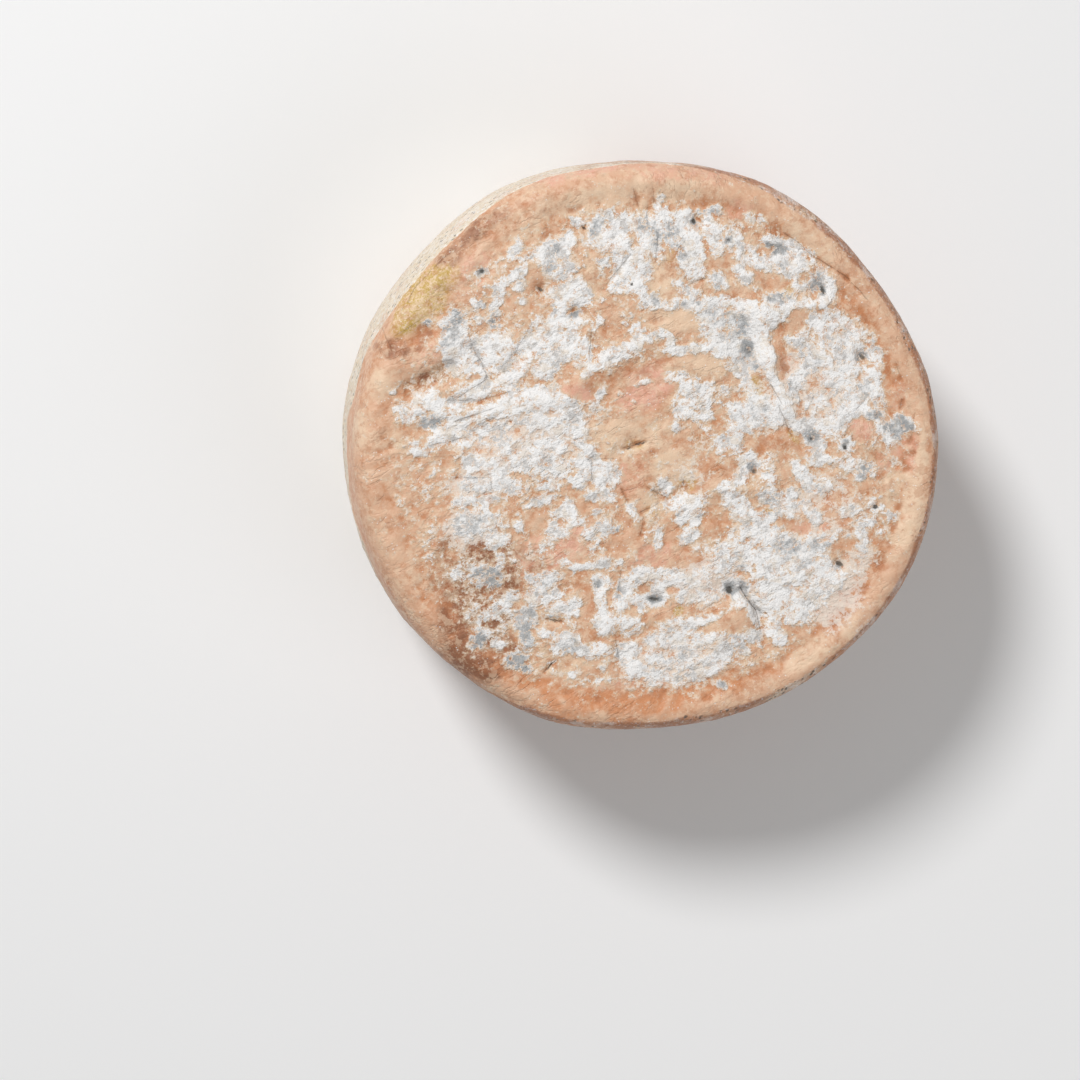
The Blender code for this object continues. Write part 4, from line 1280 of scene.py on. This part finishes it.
    def maps(self, points: Array, ups: Array, insets: Array) -> dict[str, Array]:
        """The soft maps of growth and stains.

        Args:
            points: The plain points.
            ups: How far each faces up.
            insets: How far each lies in from the wall.

        Returns:
            A map for each name.
        """
        x, y = points[:, 0], points[:, 1]
        flat = np.stack([x, y, np.zeros_like(x)], axis=1)
        unbent_x, unbent_y = x, y
        bend_x, bend_y = 0.0016 * waves(flat, 0.009, 11.0), 0.0016 * waves(flat, 0.009, 17.0)
        x, y = x + bend_x, y + bend_y
        upper = ups > 0.0
        within = ease((insets - 0.012) / 0.014)
        grown = strongest(GROWTH, x, y)
        growth = 0.32 * np.maximum(within, grown) + 0.44 * grown - 0.30 * strongest(BARE, x, y)
        below = 0.62 * ease((insets - 0.016) / 0.014) * ease(0.6 + waves(points, 0.05, 21.0))
        sides = 0.10 + 0.12 * waves(points, 0.03, 13.0)
        growth = np.where(upper, growth * ease(ups * 4.0), np.where(ups < 0.0, below, sides))
        maps = {"growth": growth, "upright": self.upright(x, y)}
        maps["veil"] = np.where(upper, strongest(VEIL, x, y), 0.1)
        maps["grey"] = np.where(upper, strongest(GREYS, x, y), 0.2)
        for stain, ovals in STAINS.items():
            maps[stain.value] = np.where(upper, strongest(ovals, x, y), 0.0)
        maps["pit"] = np.where(upper, strongest(PITS, unbent_x, unbent_y), 0.0)
        maps["crease_side"], maps["crease"] = self.slits(unbent_x, unbent_y)
        maps["crease"] *= upper
        turn = np.degrees(np.arctan2(points[:, 1], points[:, 0])) % 360.0
        right = 0.5 + 0.5 * np.cos(np.radians(turn - 10.0))
        # A reddish flush along the bottom, and a darker line in the groove's bottom at the right,
        # which is painted shade.
        flush_and_groove_shade = 0.30 * swell(insets - 0.0215, 0.0040) * right
        flush_and_groove_shade = flush_and_groove_shade + 0.95 * swell(turn - 262.0, 34.0) * ease((0.029 - insets) / 0.014)
        maps["flush_and_groove_shade"] = np.where(upper, flush_and_groove_shade, 0.4)
        drop = self.rim_level - points[:, 2]
        start = np.interp(turn, *zip(*self.wall_starts)) + 0.0012 * waves(points, 0.012, 25.0)
        start = start * (1.0 + 0.5 * waves(flat, 0.034, 27.0) * ease((start - 0.008) / 0.02))
        fade = 0.0040 + 0.40 * np.abs(start)
        maps["wall"] = ease((drop - start) / fade) * ease((1.0 + ups) * 3.0)
        pale = swell(turn - 128.0, 32.0) + 0.45 * swell(turn - 188.0, 34.0)
        pale = pale + 0.4 * waves(points, 0.05, 31.0) + 0.20
        maps["pale"] = np.clip(pale, 0.0, 1.0)
        return maps

    @staticmethod
    def slits(x: Array, y: Array) -> tuple[Array, Array]:
        """Where the fine creases run, which stay sharp between the mesh's points.

        Args:
            x: Places along X.
            y: Places along Y.

        Returns:
            How far each point lies to one side of the nearest crease, in millimetres, and how
            strongly that crease shows there.
        """
        flat = np.stack([x, y, np.zeros_like(x)], axis=1)
        bend = 0.0007 * waves(flat, 0.0070, 15.0)
        side, strength, nearest = np.full_like(x, 9.0), np.zeros_like(x), np.full_like(x, np.inf)
        for fold in CREASES:
            run = np.subtract(fold.end, fold.start)
            length = np.hypot(*run)
            offset_x, offset_y = x - fold.start[0], y - fold.start[1]
            along = (offset_x * run[0] + offset_y * run[1]) / length
            across = (offset_y * run[0] - offset_x * run[1]) / length + bend
            beyond = np.maximum(np.maximum(-along, along - length), 0.0)
            away = np.hypot(across, beyond)
            closer = away < nearest
            nearest = np.minimum(nearest, away)
            shows = ease(1.0 - beyond / 0.002) * ease(2.5 - away / 0.0012)
            shows = shows * min(-fold.height / 0.0014, 1.0)
            side = np.where(closer, across * PER_METRE, side)
            strength = np.where(closer, np.maximum(shows, 0.0), strength)
        return side, strength

    def cavity(self, points: Array, faces: list[tuple[int, int, int]], ups: Array) -> Array:
        """How deep each point lies between its neighbours, and below 0 where it stands above them.

        Args:
            points: The moved points.
            faces: The triangles.
            ups: How far each faces up.

        Returns:
            The depth at each point, 0 off the upper face.
        """
        corners = np.array(faces)
        pairs = np.concatenate([corners[:, [0, 1]], corners[:, [1, 2]], corners[:, [2, 0]]])
        level = points[:, 2]
        counts = np.bincount(pairs[:, 0], minlength=len(level)).astype(float)
        smooth = level
        for _ in range(self.cavity_rounds):
            smooth = np.bincount(pairs[:, 0], smooth[pairs[:, 1]], len(level)) / counts
        depth = (smooth - level) / self.cavity_depth
        return np.clip(depth, -2.0, 2.0) * ease(ups * 2.0 - 1.0)

    def raise_crusts(self, wheel: bpy.types.Object) -> None:
        """Raises the crusts of mould by the same nodes that paint them, as real geometry.

        Args:
            wheel: The wheel.
        """
        group = bpy.data.node_groups.new("raise_crusts", "GeometryNodeTree")
        group.interface.new_socket("Geometry", in_out="INPUT", socket_type="NodeSocketGeometry")
        group.interface.new_socket("Geometry", in_out="OUTPUT", socket_type="NodeSocketGeometry")
        sheet = Sheet(group)
        rind = sheet.node("NodeGroupInput")
        kinds = {"place": "FLOAT_VECTOR", "growth": "FLOAT", "upright": "FLOAT"}
        place, growth, upright = (
            sheet.node("GeometryNodeInputNamedAttribute", {"data_type": kind}, {"Name": name})
            for name, kind in kinds.items()
        )
        crust = self.finish.crust
        level = crust.level(sheet, place, growth, upright)
        here = (level + sheet.speckle(place, 0.018, 3.0, 0.6) - 0.5).rise(0.15, 0.60)
        height = crust.cover(level) * crust.thickness + crust.relief(sheet, place, upright, here)
        normal = sheet.node("GeometryNodeInputNormal")
        kept = sheet.node(
            "GeometryNodeStoreNamedAttribute",
            {"data_type": "FLOAT", "domain": "POINT"},
            {"Geometry": rind, "Name": "level", "Value": level},
        )
        raised = sheet.node(
            "GeometryNodeSetPosition", {}, {"Geometry": kept, "Offset": normal * height}
        )
        end = group.nodes.new("NodeGroupOutput")
        group.links.new(raised.socket, end.inputs[0])
        wheel.modifiers.new("raise_crusts", "NODES").node_group = group
        graph = bpy.context.evaluated_depsgraph_get()
        mesh = bpy.data.meshes.new_from_object(wheel.evaluated_get(graph))
        wheel.modifiers.clear()
        places = np.empty(len(mesh.vertices) * 3)
        mesh.vertices.foreach_get("co", places)
        places[2::3] = np.maximum(places[2::3], 0.0)
        mesh.vertices.foreach_set("co", places)
        wheel.data = mesh


def spaced(start: float, end: float, step: float) -> list[float]:
    """Even steps from start towards end, both left out."""
    count = max(round(abs(end - start) / step), 1)
    return [start + (end - start) * index / count for index in range(1, count)]


def stitched(inner: tuple[int, int], outer: tuple[int, int]) -> list[tuple[int, int, int]]:
    """Triangles between two rings.

    Args:
        inner: The first ring's first point and its number of points.
        outer: The same for the next ring.

    Returns:
        The triangles.
    """
    (first, count), (next_first, next_count) = inner, outer
    faces = []
    done = next_done = 0
    while done < count or next_done < next_count:
        here, across = first + done % count, next_first + next_done % next_count
        if (next_done + 1) * count <= (done + 1) * next_count:
            next_done += 1
            faces.append((here, across, next_first + next_done % next_count))
        else:
            done += 1
            faces.append((here, across, first + done % count))
    return faces


@dataclass(frozen=True)
class Lamp:
    """A round soft light: its place from the middle of the upper face, its width and power."""

    name: str
    offset: tuple[float, float, float]
    width: float
    watts: float


@dataclass
class Studio:
    """The pale floor, the soft lights and the camera."""

    yaw: float = 8.0  # degrees, as is the pitch
    pitch: float = 4.0
    distance: float = 1.474
    focal: float = 2974.0  # pixels of the picture, as is the place where the target shows
    aim: tuple[float, float] = (651.8, 449.8)
    lamps: tuple[Lamp, ...] = (
        Lamp("key", (-1.40, 1.80, 2.4), 0.8, 82.0),
        Lamp("fill", (0.9, -0.7, 1.2), 1.2, 5.2),
    )
    surround: float = 0.25
    floor_size: float = 6.0
    floor_shade: float = 0.93
    floor_roughness: float = 0.8

    def build(self, target: Vector) -> None:
        """Makes the studio round the wheel.

        Args:
            target: The middle of the wheel's upper face.
        """
        self.camera(target)
        self.lights(target)
        self.floor()
        bpy.context.scene.view_settings.view_transform = "Standard"

    def camera(self, target: Vector) -> None:
        """Looks down on the face, from a little to its left and above.

        Args:
            target: The middle of the wheel's upper face.
        """
        yaw, pitch = math.radians(self.yaw), math.radians(self.pitch)
        level = math.cos(pitch)
        away = Vector((-math.sin(yaw) * level, math.sin(pitch), math.cos(yaw) * level))
        right = (-away).cross(Vector((0.0, 1.0, 0.0))).normalized()
        up = right.cross(-away)
        middle = PICTURE_WIDTH / 2
        ahead = -away * self.focal - right * (self.aim[0] - middle) - up * (middle - self.aim[1])
        ahead.normalize()
        right = ahead.cross(Vector((0.0, 1.0, 0.0))).normalized()
        up = right.cross(ahead)
        data = bpy.data.cameras.new("camera")
        data.sensor_width = SENSOR_WIDTH
        data.lens = self.focal * SENSOR_WIDTH / PICTURE_WIDTH
        camera = bpy.data.objects.new("camera", data)
        turn = Matrix((right, up, -ahead)).transposed().to_4x4()
        camera.matrix_world = Matrix.Translation(target + away * self.distance) @ turn
        bpy.context.scene.collection.objects.link(camera)
        bpy.context.scene.camera = camera

    def lights(self, target: Vector) -> None:
        """A soft key from the picture's upper left, a weak fill and an even pale surround.

        Args:
            target: The middle of the wheel's upper face.
        """
        for lamp in self.lamps:
            data = bpy.data.lights.new(lamp.name, "AREA")
            data.shape = "DISK"
            data.size = lamp.width
            data.energy = lamp.watts
            light = bpy.data.objects.new(lamp.name, data)
            offset = Vector(lamp.offset)
            light.location = target + offset
            light.rotation_euler = (-offset).to_track_quat("-Z", "Y").to_euler()
            bpy.context.scene.collection.objects.link(light)
        world = bpy.data.worlds.new("studio")
        world.use_nodes = True
        background = world.node_tree.nodes["Background"]
        background.inputs["Color"].default_value = (1.0, 1.0, 1.0, 1.0)
        background.inputs["Strength"].default_value = self.surround
        bpy.context.scene.world = world

    def floor(self) -> None:
        """The plain pale floor under the wheel."""
        half = self.floor_size / 2
        mesh = bpy.data.meshes.new("floor")
        corners = [(-half, -half, 0.0), (half, -half, 0.0), (half, half, 0.0), (-half, half, 0.0)]
        mesh.from_pydata(corners, [], [(0, 1, 2, 3)])
        material = bpy.data.materials.new("pale_floor")
        material.use_nodes = True
        shader = material.node_tree.nodes["Principled BSDF"]
        shader.inputs["Base Color"].default_value = (*[self.floor_shade] * 3, 1.0)
        shader.inputs["Roughness"].default_value = self.floor_roughness
        mesh.materials.append(material)
        floor = bpy.data.objects.new("floor", mesh)
        bpy.context.scene.collection.objects.link(floor)
        floor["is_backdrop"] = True


def main() -> None:
    """Builds the wheel and its studio."""
    logging.basicConfig(level=logging.INFO, format="%(message)s")
    solid_low, solid_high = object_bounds()
    wheel = Wheel().build()
    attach(wheel, "root")
    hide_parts(NODE)
    LOG.info("wheel: %d triangles", len(wheel.data.polygons))
    Studio().build(Vector((0.0, 0.0, solid_high.z)))
    LOG.info("studio: floor, lights and camera")


if __name__ == "__main__":
    main()
